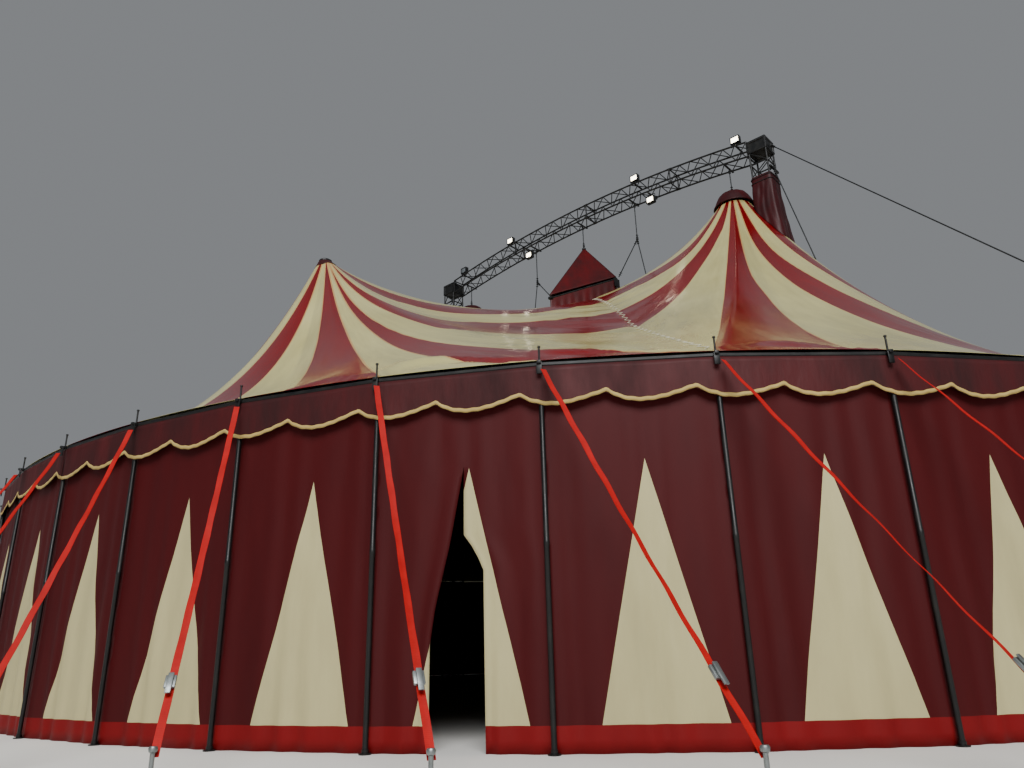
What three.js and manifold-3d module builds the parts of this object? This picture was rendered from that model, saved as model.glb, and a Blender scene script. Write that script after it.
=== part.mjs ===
// A circus big top: a round striped canopy with four peaks and a small raised cupola,
// hung from an arched lattice truss on two towers, with side poles, walls and guys.
// Millimetres, +Z up. The origin is on the ground at the middle of the ring.
// +X runs along the arch to the near tower, so -X is far, -Y is left and +Y is right.
import * as THREE from 'three';
import { mergeVertices } from 'three/addons/utils/BufferGeometryUtils.js';
import Module from 'manifold-3d';

const wasm = await Module();
wasm.setup();

// Driving dimensions of the round
const rimRadius = 15700;
const eaveHeight = 4250;
const poleCount = 48;
const valleyBays = 6.5;
const canopyDrop = 40;
const touchGap = 0.3;
const seamHalfGap = 0.2;
const sagSkew = 0.25;

// Canopy heights at the middle, and of the valleys by radius
const centreHole = 1000;
const hoodHoleHeight = 12300;
const poleHoleHeight = 12000;
const holeValleyHeight = 12050;
const valleyLine = [
  [10000, 7080], [8000, 8290], [5900, 9520], [4600, 10210], [3400, 10840], [2300, 11370],
];

// Peaks that hang from the arch, under a hood
const hoodPeakOut = 5720;
const hoodPeakHeight = 13660;
const hoodPeakRing = 450;
const hoodPeakSag = 0.088;

// Peaks on a king pole
const polePeakOut = 10530;
const polePeakHeight = 9900;
const polePeakRing = 160;
const polePeakSag = 0.07;

// Towers, corner blocks and arch
const towerOut = 6780;
const towerWidth = 570;
const towerHeight = 14660;
const towerPanels = 12;
const towerHole = 320;
const chordDiameter = 50;
const braceDiameter = 26;
const endBraceDiameter = 36;
const braceInset = 0.05;
const baseWidth = 900;
const baseThickness = 34;
const blockWidth = 620;
const blockTop = 15400;
const archCrown = 15720;
const archRise = 530;
const archPanels = 16;
const archLengths = 4;

// Fabric sleeve round a tower: half widths and heights
const sleeveShell = 15;
const sleeveTop = { half: 302, height: 14110 };
const sleeveWaist = { half: 335, height: 13340 };
const sleeveFoot = { half: 580, height: 11400 };

// Hood over a hung peak: radii, and heights above the peak
const hoodOutside = [[560, 30], [470, 240], [340, 400], [180, 485], [0, 500]];
const hoodInside = [[0, 482], [176, 467], [332, 384], [460, 226], [548, 30]];
const peakRingInner = 390;
const peakRingOuter = 445;
const peakRingDepth = 60;
const spokeDiameter = 44;
const postDiameter = 60;
const postHeight = 478;

// King pole: foot, shaft and head
const kingFoot = { radius: 260, height: 30 };
const kingShaft = 100;
const kingHead = { radius: 155, low: -100, high: 50, top: 80 };

// Side poles, pins, straps and stakes
const poleDiameter = 60;
const pinRadius = 15758;
const pinHeight = 160;
const pinWidth = 24;
const bandInner = 15665;
const bandOuter = 15745;
const bandDepth = 45;
const bandTop = eaveHeight - touchGap;
const bracketWidth = 40;
const bracketDepth = 30;
const bracketLap = 10;
const strapWidth = 75;
const strapThickness = 10;
const strapHeadRadius = 15795;
const stakeRadius = 18200;
const stakeLead = 5.5;
const stakeHeight = 350;
const stakeWidth = 56;
const strapFootHeight = 270;

// Wall and valance
const wallOuter = 15664.7;
const wallThickness = 20;
const doorwayAngle = -60;
const doorwayWidth = 900;
const doorwayHeight = 3050;
const doorwayShoulder = { width: 0.36, height: 0.62 };
const valanceRadius = 15734;
const valanceThickness = 10;
const valanceCusp = 360;
const valanceScoop = 500;

// Cupola over the middle: four corners, two over the arch's line and two to the sides
const cupolaHeight = 14500;
const cupolaNearOut = 1260;
const cupolaNearHeight = 12900;
const cupolaSideOut = 2080;
const cupolaSideHeight = 11930;
const cupolaShell = 40;
const cupolaFrame = { depth: 70, inner: 0.94 };
const cupolaSkirt = { outer: 0.98, inner: 0.955, drop: 2500 };
const cupolaPlate = new THREE.Vector3(60, 260, 300);
const cupolaPlateOut = cupolaNearOut + 20;
const cupolaPlateDrop = 250;

// Cables, their clamps and the guys
const cableDiameter = 36;
const clampThickness = 30;
const clampLength = 60;
const clampGap = 10;
const bridleOut = 2220;
const bridleJointHeight = 13940;
const bridleJointSize = 90;
const bridleFoot = new THREE.Vector3(2520, 0, 12000);
const bridlePlateReach = new THREE.Vector3(cupolaNearOut + 110, 0, cupolaNearHeight - 60);
const guyHeadDrop = 250;
const guyAnchorRadius = 19640;
const guyAngle = -9;
const guyAnchorHeight = 450;
const guyAnchorWidth = 80;
const guyFootHeight = 330;
const guyLengths = 12;
const stayHeadHeight = 14310;
const stayFoot = new THREE.Vector3(7880, 0, 10800);

// Floodlights: places along the arch, on top of it or under it
const floodlights = [
  ['near_end', 6100, true], ['near_top', 2400, true], ['near_under', 2950, false],
  ['far_under', -2450, false], ['far_top', -3390, true], ['far_end', -6000, true],
];
const lampSize = new THREE.Vector3(300, 180, 240);
const lampArm = new THREE.Vector3(40, 60, 120);
const lampSide = -120;
const lampRise = 220;

const bayAngle = 360 / poleCount;
const valleyAngle = valleyBays * bayAngle;
const radians = THREE.MathUtils.degToRad;
const twoEnds = [['near', 0], ['far', 180]];

const finish = (color, roughness, metalness = 0) =>
  new THREE.MeshStandardMaterial({ color, roughness, metalness });
const finishes = {
  redSheet: finish(0x8c1219, 0.35),
  creamSheet: finish(0xd9d3ae, 0.35),
  darkSheet: finish(0x5a1218, 0.5),
  wallSheet: finish(0x5c1016, 0.6),
  blackSteel: finish(0x1b1c1d, 0.5, 0.6),
  poleSteel: finish(0x8d9092, 0.4, 0.8),
  webbing: finish(0xc41d18, 0.7),
  cableSteel: finish(0x3a3c3e, 0.45, 0.8),
};

const group = new THREE.Group();

// Solids from geometries and back
function solidOf(geometry) {
  const bare = geometry.clone();
  bare.deleteAttribute('normal');
  bare.deleteAttribute('uv');
  const merged = mergeVertices(bare, 1e-3);
  return new wasm.Manifold(new wasm.Mesh({
    numProp: 3,
    vertProperties: new Float32Array(merged.attributes.position.array),
    triVerts: new Uint32Array(merged.index.array),
  }));
}

function geometryOf(solid) {
  const mesh = solid.getMesh();
  const geometry = new THREE.BufferGeometry();
  geometry.setAttribute('position', new THREE.BufferAttribute(mesh.vertProperties, 3));
  geometry.setIndex(new THREE.BufferAttribute(mesh.triVerts, 1));
  geometry.computeVertexNormals();
  return geometry;
}

const fuse = (solids) => solids.reduce((whole, solid) => whole.add(solid));

function addPiece(name, solid, material) {
  const mesh = new THREE.Mesh(geometryOf(solid), material);
  mesh.name = name;
  group.add(mesh);
}

// Basic shapes
const polar = (radius, degrees, height) =>
  new THREE.Vector3(radius * Math.cos(radians(degrees)), radius * Math.sin(radians(degrees)), height);

function bar(from, to, diameter, sides = 4, lengths = 1) {
  const length = from.distanceTo(to);
  const geometry = new THREE.CylinderGeometry(diameter / 2, diameter / 2, length, sides, lengths);
  const along = to.clone().sub(from).normalize();
  const turn = new THREE.Quaternion().setFromUnitVectors(new THREE.Vector3(0, 1, 0), along);
  geometry.applyQuaternion(turn);
  geometry.translate(...from.clone().add(to).multiplyScalar(0.5).toArray());
  return solidOf(geometry);
}

function block(size, centre, degrees = 0) {
  const geometry = new THREE.BoxGeometry(size.x, size.y, size.z);
  geometry.rotateZ(radians(degrees));
  geometry.translate(centre.x, centre.y, centre.z);
  return solidOf(geometry);
}

// A flat band between two points, its width level
function strap(from, to, width, thickness) {
  const along = to.clone().sub(from).normalize();
  const across = new THREE.Vector3(-along.y, along.x, 0).normalize();
  const outward = new THREE.Vector3().crossVectors(along, across);
  const geometry = new THREE.BoxGeometry(from.distanceTo(to), width, thickness);
  geometry.applyMatrix4(new THREE.Matrix4().makeBasis(along, across, outward));
  geometry.translate(...from.clone().add(to).multiplyScalar(0.5).toArray());
  return solidOf(geometry);
}

// A square frustum by its half widths at two heights
function squareFrustum(centreX, lowHalf, highHalf, low, high) {
  const corner = Math.SQRT2;
  const geometry = new THREE.CylinderGeometry(highHalf * corner, lowHalf * corner, high - low, 4);
  geometry.rotateY(Math.PI / 4);
  geometry.rotateX(Math.PI / 2);
  geometry.translate(centreX, 0, (low + high) / 2);
  return solidOf(geometry);
}

function lathe(profile, centre, sides) {
  const points = profile.map(([radius, height]) => new THREE.Vector2(radius, height));
  const geometry = new THREE.LatheGeometry(points, sides);
  geometry.rotateX(Math.PI / 2);
  geometry.translate(centre.x, centre.y, centre.z);
  return solidOf(geometry);
}

// A closed skin over a grid of points: rows of upper points and rows of lower points
function skin(upper, lower) {
  const rows = upper.length;
  const columns = upper[0].length;
  const points = [...upper.flat(), ...lower.flat()];
  const index = [];
  const quad = (a, b, c, d) => index.push(a, b, c, a, c, d);
  const top = (row, column) => row * columns + column;
  const under = (row, column) => rows * columns + top(row, column);
  for (let row = 0; row < rows - 1; row += 1) {
    for (let column = 0; column < columns - 1; column += 1) {
      quad(top(row, column), top(row + 1, column), top(row + 1, column + 1), top(row, column + 1));
      quad(under(row, column), under(row, column + 1), under(row + 1, column + 1), under(row + 1, column));
    }
  }
  for (let row = 0; row < rows - 1; row += 1) {
    const last = columns - 1;
    quad(top(row, 0), under(row, 0), under(row + 1, 0), top(row + 1, 0));
    quad(top(row, last), top(row + 1, last), under(row + 1, last), under(row, last));
  }
  for (let column = 0; column < columns - 1; column += 1) {
    const last = rows - 1;
    quad(top(0, column), top(0, column + 1), under(0, column + 1), under(0, column));
    quad(top(last, column), under(last, column), under(last, column + 1), top(last, column + 1));
  }
  const geometry = new THREE.BufferGeometry();
  const positions = new Float32Array(points.flatMap((point) => point.toArray()));
  geometry.setAttribute('position', new THREE.BufferAttribute(positions, 3));
  geometry.setIndex(index);
  return solidOf(geometry);
}

// Each seam of the canopy leaves its peak at an angle from the outward axis and ends on
// the rim, on the valley between two peaks, or at the hole in the middle.
// Every second seam is the edge of a stripe, which meets the rim at a side pole.
// The rim seams give the angle at the peak, the angle on the rim and the share of sag.
const hoodRim = [
  [0, 0, 0.13], [6, 3.75, 0.13], [13, 7.5, 0.13], [20, 11.25, 0.13], [30, 18.75, 0.13],
  [40, 26.25, 0.125], [49, 33.75, 0.12], [58, 41.25, 0.115], [63, 45, 0.1],
];
const poleRim = [
  [0, 0, 0.18], [9, 3.75, 0.18], [18, 7.5, 0.175], [27, 11.25, 0.17], [36, 15, 0.165],
  [45, 18.75, 0.16], [54, 22.5, 0.12], [63, 26.25, 0.08], [72, 30, 0.07], [81, 33.75, 0.07],
  [90, 37.5, 0.07],
];
const hoodPeak = {
  out: hoodPeakOut,
  height: hoodPeakHeight,
  ring: hoodPeakRing,
  sag: hoodPeakSag,
  valley: valleyAngle,
  holeHeight: hoodHoleHeight,
  rim: hoodRim,
  rimEnd: 68,
  valleyEnds: [[82.5, 0], [97.5, 1], [112.5, 2], [127.5, 3], [142.5, 4], [157.5, 5]],
  holeEnd: 172.5,
};
const polePeak = {
  out: polePeakOut,
  height: polePeakHeight,
  ring: polePeakRing,
  sag: polePeakSag,
  valley: 90 - valleyAngle,
  holeHeight: poleHoleHeight,
  rim: poleRim,
  rimEnd: 99,
  valleyEnds: [[117, 0], [135, 1], [153, 2], [171, 5]],
  holeEnd: 175.5,
};
const seamStations = [0, 0.12, 0.36, 0.68, 1];

// Where the seams of a peak end, from its outward axis round to the ridge
function seamEnds(peak) {
  const rimHeight = eaveHeight + canopyDrop;
  const onRim = ([angle, rimAngle, sag]) =>
    ({ angle, sag, end: polar(rimRadius, rimAngle, rimHeight) });
  const onValley = (angle, radius, height) =>
    ({ angle, end: polar(radius, peak.valley, height), valley: true });
  const holeRadius = centreHole / (Math.cos(radians(valleyAngle)) + Math.sin(radians(valleyAngle)));
  return [
    ...peak.rim.map(onRim),
    onValley(peak.rimEnd, rimRadius, rimHeight),
    ...peak.valleyEnds.map(([angle, station]) => onValley(angle, ...valleyLine[station])),
    onValley(peak.holeEnd, holeRadius, holeValleyHeight),
    { angle: 180, end: new THREE.Vector3(centreHole, 0, peak.holeHeight) },
  ];
}

// How far a seam hangs below its chord: most nearer the peak than the far end
const sagAt = (share, deepest) => deepest * 4 * share * (1 - share) * (1 + sagSkew * (1 - 2 * share));

// Points of one half of a peak's canopy, on the +Y side of a peak that stands on +X
function seamPoints(peak, seam, rise, halfGap) {
  const start = polar(peak.ring, seam.angle, peak.height).add(new THREE.Vector3(peak.out, 0, 0));
  const deepest = (seam.sag ?? peak.sag) * start.distanceTo(seam.end);
  return seamStations.map((share) => {
    const place = start.clone().lerp(seam.end, share);
    if (seam.angle % 180 === 0) {
      place.y = halfGap;
    }
    if (seam.valley && share === 1) {
      place.x += halfGap * Math.sin(radians(peak.valley));
      place.y -= halfGap * Math.cos(radians(peak.valley));
    }
    place.z += rise - sagAt(share, deepest);
    return place;
  });
}

function halfCanopy(peak, rise, drop, halfGap) {
  const seams = seamEnds(peak);
  const upper = seams.map((seam) => seamPoints(peak, seam, rise, halfGap));
  const lower = seams.map((seam) => seamPoints(peak, seam, rise - drop, halfGap));
  return skin(lower, upper);
}

const peaks = [
  { name: 'near', kind: hoodPeak, turn: 0 },
  { name: 'left', kind: polePeak, turn: -90 },
  { name: 'far', kind: hoodPeak, turn: 180 },
  { name: 'right', kind: polePeak, turn: 90 },
];

const placed = (solid, mirrored, turn) =>
  (mirrored ? solid.mirror([0, 1, 0]) : solid).rotate([0, 0, turn]);

// What lies below the canopy's upper face, for trimming the pieces that stand on it
const trimDepth = 5000;
const trimRise = 0.8;
const belowCanopy = peaks.flatMap(({ kind, turn }) => {
  const cutter = halfCanopy(kind, trimRise, trimDepth, -seamHalfGap);
  return [false, true].map((mirrored) => placed(cutter, mirrored, turn));
});
const trimToCanopy = (solid) => belowCanopy.reduce((left, cutter) => left.subtract(cutter), solid);

function addCanopy() {
  const hole = squareFrustum(towerOut, towerHole, towerHole, eaveHeight, blockTop);
  for (const { name, kind, turn } of peaks) {
    const whole = halfCanopy(kind, 0, canopyDrop, seamHalfGap);
    const half = kind === hoodPeak ? whole.subtract(hole) : whole;
    addPiece(`canopy_${name}_a`, placed(half, false, turn), finishes.creamSheet);
    addPiece(`canopy_${name}_b`, placed(half, true, turn), finishes.redSheet);
  }
}

// An upright with a flat side facing out, at a place on the round
function upright(radius, degrees, low, high, diameter, sides) {
  const geometry = new THREE.CylinderGeometry(diameter / 2, diameter / 2, high - low, sides);
  geometry.rotateX(Math.PI / 2);
  geometry.rotateZ(sides === 4 ? Math.PI / 4 : 0);
  geometry.translate(radius, 0, (low + high) / 2);
  geometry.rotateZ(radians(degrees));
  return solidOf(geometry);
}

// One side pole with its pin, head bracket, strap and stake
function sidePole(degrees) {
  const bracketHeight = bandTop - bandDepth / 2;
  const pole = upright(rimRadius, degrees, 0, bracketHeight, poleDiameter, 6);
  const bracket = block(
    new THREE.Vector3(strapHeadRadius - bandOuter + bracketLap, bracketWidth, bracketDepth),
    polar((strapHeadRadius + bandOuter - bracketLap) / 2, degrees, bracketHeight),
    degrees,
  );
  const pin = upright(pinRadius, degrees, bracketHeight, bandTop + canopyDrop + pinHeight, pinWidth, 4);
  const stakeAngle = degrees + stakeLead;
  const head = polar(strapHeadRadius - strapThickness / 2, degrees, bracketHeight);
  const foot = polar(stakeRadius, stakeAngle, strapFootHeight);
  const stake = upright(stakeRadius, stakeAngle, 0, stakeHeight, stakeWidth, 4);
  return fuse([pole, bracket, pin, strap(head, foot, strapWidth, strapThickness), stake]);
}

// A run of bays as a flat-sided ring piece, from one angle to another
function ringSector(inner, outer, low, high, fromBay, bays) {
  const shape = new THREE.Shape();
  const angleAt = (bay) => {
    const edge = THREE.MathUtils.radToDeg(seamHalfGap / outer);
    const inset = bay === 0 ? edge : bay === bays ? -edge : 0;
    return (fromBay + bay) * bayAngle + inset;
  };
  for (let bay = 0; bay <= bays; bay += 1) {
    const point = polar(outer, angleAt(bay), 0);
    if (bay === 0) {
      shape.moveTo(point.x, point.y);
    } else {
      shape.lineTo(point.x, point.y);
    }
  }
  for (let bay = bays; bay >= 0; bay -= 1) {
    const point = polar(inner, angleAt(bay), 0);
    shape.lineTo(point.x, point.y);
  }
  const geometry = new THREE.ExtrudeGeometry(shape, { depth: high - low, bevelEnabled: false });
  geometry.translate(0, 0, low);
  return solidOf(geometry);
}

const quarters = ['near_right', 'far_right', 'far_left', 'near_left'];

// The poles of a quarter stand half a bay inside its ends, with the eave band between them
const poleAngle = (index) => (index + 0.5) * bayAngle;

function addSidePoles() {
  const bays = poleCount / 4;
  quarters.forEach((name, quarter) => {
    const poles = [];
    for (let step = 0; step < bays; step += 1) {
      poles.push(sidePole(poleAngle(quarter * bays + step)));
    }
    addPiece(`side_poles_${name}`, fuse([eaveBand(quarter * bays, bays), ...poles]), finishes.poleSteel);
  });
}

// The eave band turns at each pole and ends between two poles
function eaveBand(first, bays) {
  const trim = THREE.MathUtils.radToDeg(seamHalfGap / bandOuter);
  const chordShare = Math.cos(radians(bayAngle / 2));
  const corners = [{ angle: first * bayAngle + trim, share: chordShare }];
  for (let step = 0; step < bays; step += 1) {
    corners.push({ angle: poleAngle(first + step), share: 1 });
  }
  corners.push({ angle: (first + bays) * bayAngle - trim, share: chordShare });
  const row = (radius, height) =>
    corners.map(({ angle, share }) => polar(radius * share, angle, height));
  const inner = [row(bandInner, bandTop - bandDepth), row(bandInner, bandTop)];
  const outer = [row(bandOuter, bandTop - bandDepth), row(bandOuter, bandTop)];
  return skin(inner, outer);
}

function addWalls() {
  const bays = poleCount / 8;
  const top = eaveHeight - touchGap;
  for (let eighth = 0; eighth < 8; eighth += 1) {
    const first = eighth * bays + 0.5;
    let wall = ringSector(wallOuter - wallThickness, wallOuter, 0, top, first, bays);
    const middle = (first + bays / 2) * bayAngle;
    if (Math.abs(middle - 360 - doorwayAngle) < bays * bayAngle / 2) {
      wall = wall.subtract(doorwayCut());
    }
    addPiece(`wall_${eighth + 1}`, wall, finishes.wallSheet);
  }
}

// The parted curtain: a tall gap that closes to a point near its top
function doorwayCut() {
  const shape = new THREE.Shape();
  shape.moveTo(-doorwayWidth / 2, -10);
  shape.lineTo(doorwayWidth / 2, -10);
  const shoulder = { x: doorwayWidth * doorwayShoulder.width, y: doorwayHeight * doorwayShoulder.height };
  shape.lineTo(shoulder.x, shoulder.y);
  shape.lineTo(0, doorwayHeight);
  shape.lineTo(-shoulder.x, shoulder.y);
  const depth = 400;
  const geometry = new THREE.ExtrudeGeometry(shape, { depth, bevelEnabled: false });
  geometry.translate(0, 0, -depth / 2);
  geometry.rotateX(Math.PI / 2);
  geometry.rotateZ(radians(doorwayAngle + 90));
  const place = polar(wallOuter * Math.cos(radians(bayAngle / 2)), doorwayAngle, 0);
  geometry.translate(place.x, place.y, 0);
  return solidOf(geometry);
}

// Each bay of the valance hangs in a wide, a narrow and a wide scallop
const scallops = [
  { start: 0, end: 0.46, steps: [0.25, 0.75], depth: 1 },
  { start: 0.46, end: 0.64, steps: [0.5], depth: 0.5 },
  { start: 0.64, end: 1, steps: [0.25, 0.75], depth: 1 },
];

// The lower edge of one bay, as shares of the bay and drops below the top
function valanceEdge() {
  const edge = [];
  for (const { start, end, steps, depth } of scallops) {
    edge.push([start, valanceCusp]);
    for (const step of steps) {
      const drop = (valanceScoop - valanceCusp) * depth;
      edge.push([THREE.MathUtils.lerp(start, end, step), valanceCusp + drop]);
    }
  }
  return edge;
}

function valanceStrip(firstBay, bays) {
  const top = bandTop - bandDepth - touchGap;
  const edge = valanceEdge();
  const bayWidth = 2 * valanceRadius * Math.sin(radians(bayAngle / 2));
  const points = [];
  const index = [];
  const trim = THREE.MathUtils.radToDeg(seamHalfGap / valanceRadius);
  const ends = [firstBay * bayAngle + trim, (firstBay + bays) * bayAngle - trim];
  const addPoint = (bay, share, drop) => {
    for (const radius of [valanceRadius, valanceRadius + valanceThickness]) {
      const from = polar(radius, Math.max(bay * bayAngle, ends[0]), top - drop);
      const to = polar(radius, Math.min((bay + 1) * bayAngle, ends[1]), top - drop);
      points.push(from.lerp(to, share));
    }
    return points.length / 2 - 1;
  };
  const side = (low, high) => index.push(
    2 * low, 2 * high + 1, 2 * low + 1, 2 * low, 2 * high, 2 * high + 1);
  let topLeft = addPoint(firstBay, 0, 0);
  let lowLeft = addPoint(firstBay, 0, valanceCusp);
  side(topLeft, lowLeft);
  for (let bay = firstBay; bay < firstBay + bays; bay += 1) {
    const low = [lowLeft, ...edge.slice(1).map(([share, drop]) => addPoint(bay, share, drop))];
    low.push(addPoint(bay, 1, valanceCusp));
    const topRight = addPoint(bay, 1, 0);
    const outline = [[0, 0], ...edge, [1, valanceCusp], [1, 0]].map(([share, drop]) =>
      new THREE.Vector2(share * bayWidth, -drop));
    const names = [topLeft, ...low, topRight];
    for (const corners of THREE.ShapeUtils.triangulateShape(outline, [])) {
      const [a, b, c] = corners.map((corner) => names[corner]);
      index.push(2 * a + 1, 2 * b + 1, 2 * c + 1, 2 * a, 2 * c, 2 * b);
    }
    for (let step = 0; step + 1 < low.length; step += 1) {
      side(low[step], low[step + 1]);
    }
    side(topRight, topLeft);
    topLeft = topRight;
    lowLeft = low[low.length - 1];
  }
  side(lowLeft, topLeft);
  const geometry = new THREE.BufferGeometry();
  const positions = new Float32Array(points.flatMap((point) => point.toArray()));
  geometry.setAttribute('position', new THREE.BufferAttribute(positions, 3));
  geometry.setIndex(index);
  return solidOf(geometry);
}

function addValances() {
  const bays = poleCount / 4;
  quarters.forEach((name, quarter) => {
    addPiece(`valance_${name}`, valanceStrip(quarter * bays + 0.5, bays), finishes.darkSheet);
  });
}

// A square lattice along a line of stations: four chords with zigzag braces on each side
function lattice(stations, cornersAt, chordSteps) {
  const bars = [];
  const rings = stations.map(cornersAt);
  for (let side = 0; side < 4; side += 1) {
    for (let step = 0; step + chordSteps < rings.length; step += chordSteps) {
      bars.push(bar(rings[step][side], rings[step + chordSteps][side], chordDiameter, 4));
    }
    const next = (side + 1) % 4;
    for (let step = 0; step + 1 < rings.length; step += 1) {
      const [low, high] = step % 2 === 0 ? [side, next] : [next, side];
      const from = rings[step][low].clone().lerp(rings[step + 1][low], braceInset);
      const to = rings[step + 1][high].clone().lerp(rings[step][high], braceInset);
      bars.push(bar(from, to, braceDiameter, 3));
    }
    for (const ring of [rings[0], rings[rings.length - 1]]) {
      bars.push(bar(ring[side], ring[next], endBraceDiameter, 4));
    }
  }
  return fuse(bars);
}

function towerSolid() {
  const half = (towerWidth - chordDiameter) / 2;
  const top = towerHeight - touchGap;
  const stations = [];
  for (let step = 0; step <= towerPanels; step += 1) {
    stations.push(THREE.MathUtils.lerp(baseThickness - 4, top, step / towerPanels));
  }
  const corners = (height) => [[1, 1], [-1, 1], [-1, -1], [1, -1]].map(([x, y]) =>
    new THREE.Vector3(towerOut + x * half, y * half, height));
  const base = block(
    new THREE.Vector3(baseWidth, baseWidth, baseThickness),
    new THREE.Vector3(towerOut, 0, baseThickness / 2),
  );
  const frame = lattice(stations, corners, towerPanels);
  const above = squareFrustum(towerOut, baseWidth, baseWidth, top, blockTop);
  return frame.add(base).subtract(above);
}

// The arch is made of straight lengths that stand on a shallow parabola
function archHeight(x) {
  const reach = towerOut - blockWidth / 2;
  const place = THREE.MathUtils.clamp((x + reach) / (2 * reach), 0, 1) * archLengths;
  const joint = Math.min(Math.floor(place), archLengths - 1);
  const rise = (step) => archCrown - archRise * (2 * step / archLengths - 1) ** 2;
  return THREE.MathUtils.lerp(rise(joint), rise(joint + 1), place - joint);
}

function addTowersAndArch() {
  const half = (towerWidth - chordDiameter) / 2;
  const reach = towerOut - blockWidth / 2 - touchGap;
  const stations = [];
  for (let step = 0; step <= archPanels; step += 1) {
    stations.push(THREE.MathUtils.lerp(-reach, reach, step / archPanels));
  }
  const corners = (x) => [[1, 1], [-1, 1], [-1, -1], [1, -1]].map(([y, z]) =>
    new THREE.Vector3(x, y * half, archHeight(x) + z * half));
  const cutter = new THREE.Vector3(blockWidth, 2 * blockWidth, 2 * blockWidth);
  const ends = [-1, 1].map((side) =>
    block(cutter, new THREE.Vector3(side * (reach + blockWidth / 2), 0, archCrown - archRise)));
  const whole = lattice(stations, corners, archPanels / archLengths);
  addPiece('arch_truss', ends.reduce((left, end) => left.subtract(end), whole), finishes.blackSteel);
  const tower = towerSolid();
  const blockHeight = blockTop - towerHeight;
  const corner = block(
    new THREE.Vector3(blockWidth, blockWidth, blockHeight),
    new THREE.Vector3(towerOut, 0, towerHeight + blockHeight / 2),
  );
  for (const [name, turn] of twoEnds) {
    addPiece(`tower_${name}`, tower.rotate([0, 0, turn]), finishes.blackSteel);
    addPiece(`corner_block_${name}`, corner.rotate([0, 0, turn]), finishes.blackSteel);
  }
}

// Fabric sleeve that closes the canopy round a tower
function addSleeves() {
  const stage = (from, to, grow) =>
    squareFrustum(towerOut, from.half + grow, to.half + grow, from.height, to.height + touchGap);
  const sleeveForm = (grow) => fuse([
    stage(sleeveWaist, sleeveTop, grow),
    stage(sleeveFoot, sleeveWaist, grow),
  ]);
  const above = { half: sleeveTop.half, height: sleeveTop.height + blockWidth };
  const opening = fuse([sleeveForm(0), stage(sleeveTop, above, 0)]);
  const ringSpace = upright(
    hoodPeakOut, 0, sleeveFoot.height - blockWidth, hoodPeakHeight, 2 * hoodPeakRing + 40, 16);
  const sleeve = trimToCanopy(sleeveForm(sleeveShell).subtract(opening).subtract(ringSpace));
  for (const [name, turn] of twoEnds) {
    addPiece(`tower_sleeve_${name}`, sleeve.rotate([0, 0, turn]), finishes.darkSheet);
  }
}

// A cross bar under or over the arch's chords, for what is clamped there
const crossBar = (x, height) => block(
  new THREE.Vector3(clampLength, towerWidth, clampThickness),
  new THREE.Vector3(x, 0, height),
);
const archUnder = (x) => archHeight(x) - towerWidth / 2;

// A cable that hangs from a cross bar under the arch
function hangingCable(x, low) {
  const clampHeight = archUnder(x) - clampThickness / 2 - clampGap;
  const cable = bar(new THREE.Vector3(x, 0, low), new THREE.Vector3(x, 0, clampHeight), cableDiameter, 6);
  return fuse([cable, crossBar(x, clampHeight)]);
}

// Hood over a hung peak, and the ring and hanger that carry the peak
function addHoods() {
  const centre = new THREE.Vector3(hoodPeakOut, 0, hoodPeakHeight);
  const hood = lathe([hoodInside[0], ...hoodInside.slice(1), ...hoodOutside, hoodInside[0]], centre, 12);
  const ringLow = -peakRingDepth / 3;
  const ringHigh = ringLow + peakRingDepth;
  const ring = lathe([
    [peakRingInner, ringLow], [peakRingOuter, ringLow], [peakRingOuter, ringHigh],
    [peakRingInner, ringHigh], [peakRingInner, ringLow],
  ], centre, 12);
  const spokeReach = (peakRingInner + peakRingOuter) / 2;
  const spokeHeight = (ringLow + ringHigh) / 2;
  const spokes = [0, 90].map((turn) => bar(
    polar(spokeReach, turn, spokeHeight).add(centre),
    polar(spokeReach, turn + 180, spokeHeight).add(centre),
    spokeDiameter,
  ));
  const post = upright(hoodPeakOut, 0, hoodPeakHeight, hoodPeakHeight + postHeight, postDiameter, 6);
  const hoodTop = hoodPeakHeight + hoodOutside.at(-1)[1];
  const hanger = hangingCable(hoodPeakOut, hoodTop + touchGap);
  for (const [name, turn] of twoEnds) {
    addPiece(`peak_hood_${name}`, hood.rotate([0, 0, turn]), finishes.darkSheet);
    addPiece(`peak_ring_${name}`, fuse([ring, ...spokes, post]).rotate([0, 0, turn]), finishes.blackSteel);
    addPiece(`peak_hanger_${name}`, hanger.rotate([0, 0, turn]), finishes.cableSteel);
  }
}

// King pole with its head, under each of the two lower peaks
function addKingPoles() {
  const { radius, low, high, top } = kingHead;
  const king = lathe([
    [0, 0], [kingFoot.radius, 0], [kingFoot.radius, kingFoot.height], [kingShaft, 2 * kingFoot.height],
    [kingShaft, polePeakHeight + low - 40], [radius, polePeakHeight + low],
    [radius, polePeakHeight + high], [radius * 0.7, polePeakHeight + top], [0, polePeakHeight + top], [0, 0],
  ], new THREE.Vector3(polePeakOut, 0, 0), 12);
  addPiece('king_pole_left', king.rotate([0, 0, -90]), finishes.blackSteel);
  addPiece('king_pole_right', king.rotate([0, 0, 90]), finishes.blackSteel);
}

// Four corners of the cupola, near first, scaled out from the middle
const cupolaCorners = (share, drop) => [
  new THREE.Vector3(cupolaNearOut * share, 0, cupolaNearHeight - drop),
  new THREE.Vector3(0, cupolaSideOut * share, cupolaSideHeight - drop),
  new THREE.Vector3(-cupolaNearOut * share, 0, cupolaNearHeight - drop),
  new THREE.Vector3(0, -cupolaSideOut * share, cupolaSideHeight - drop),
];

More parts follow.
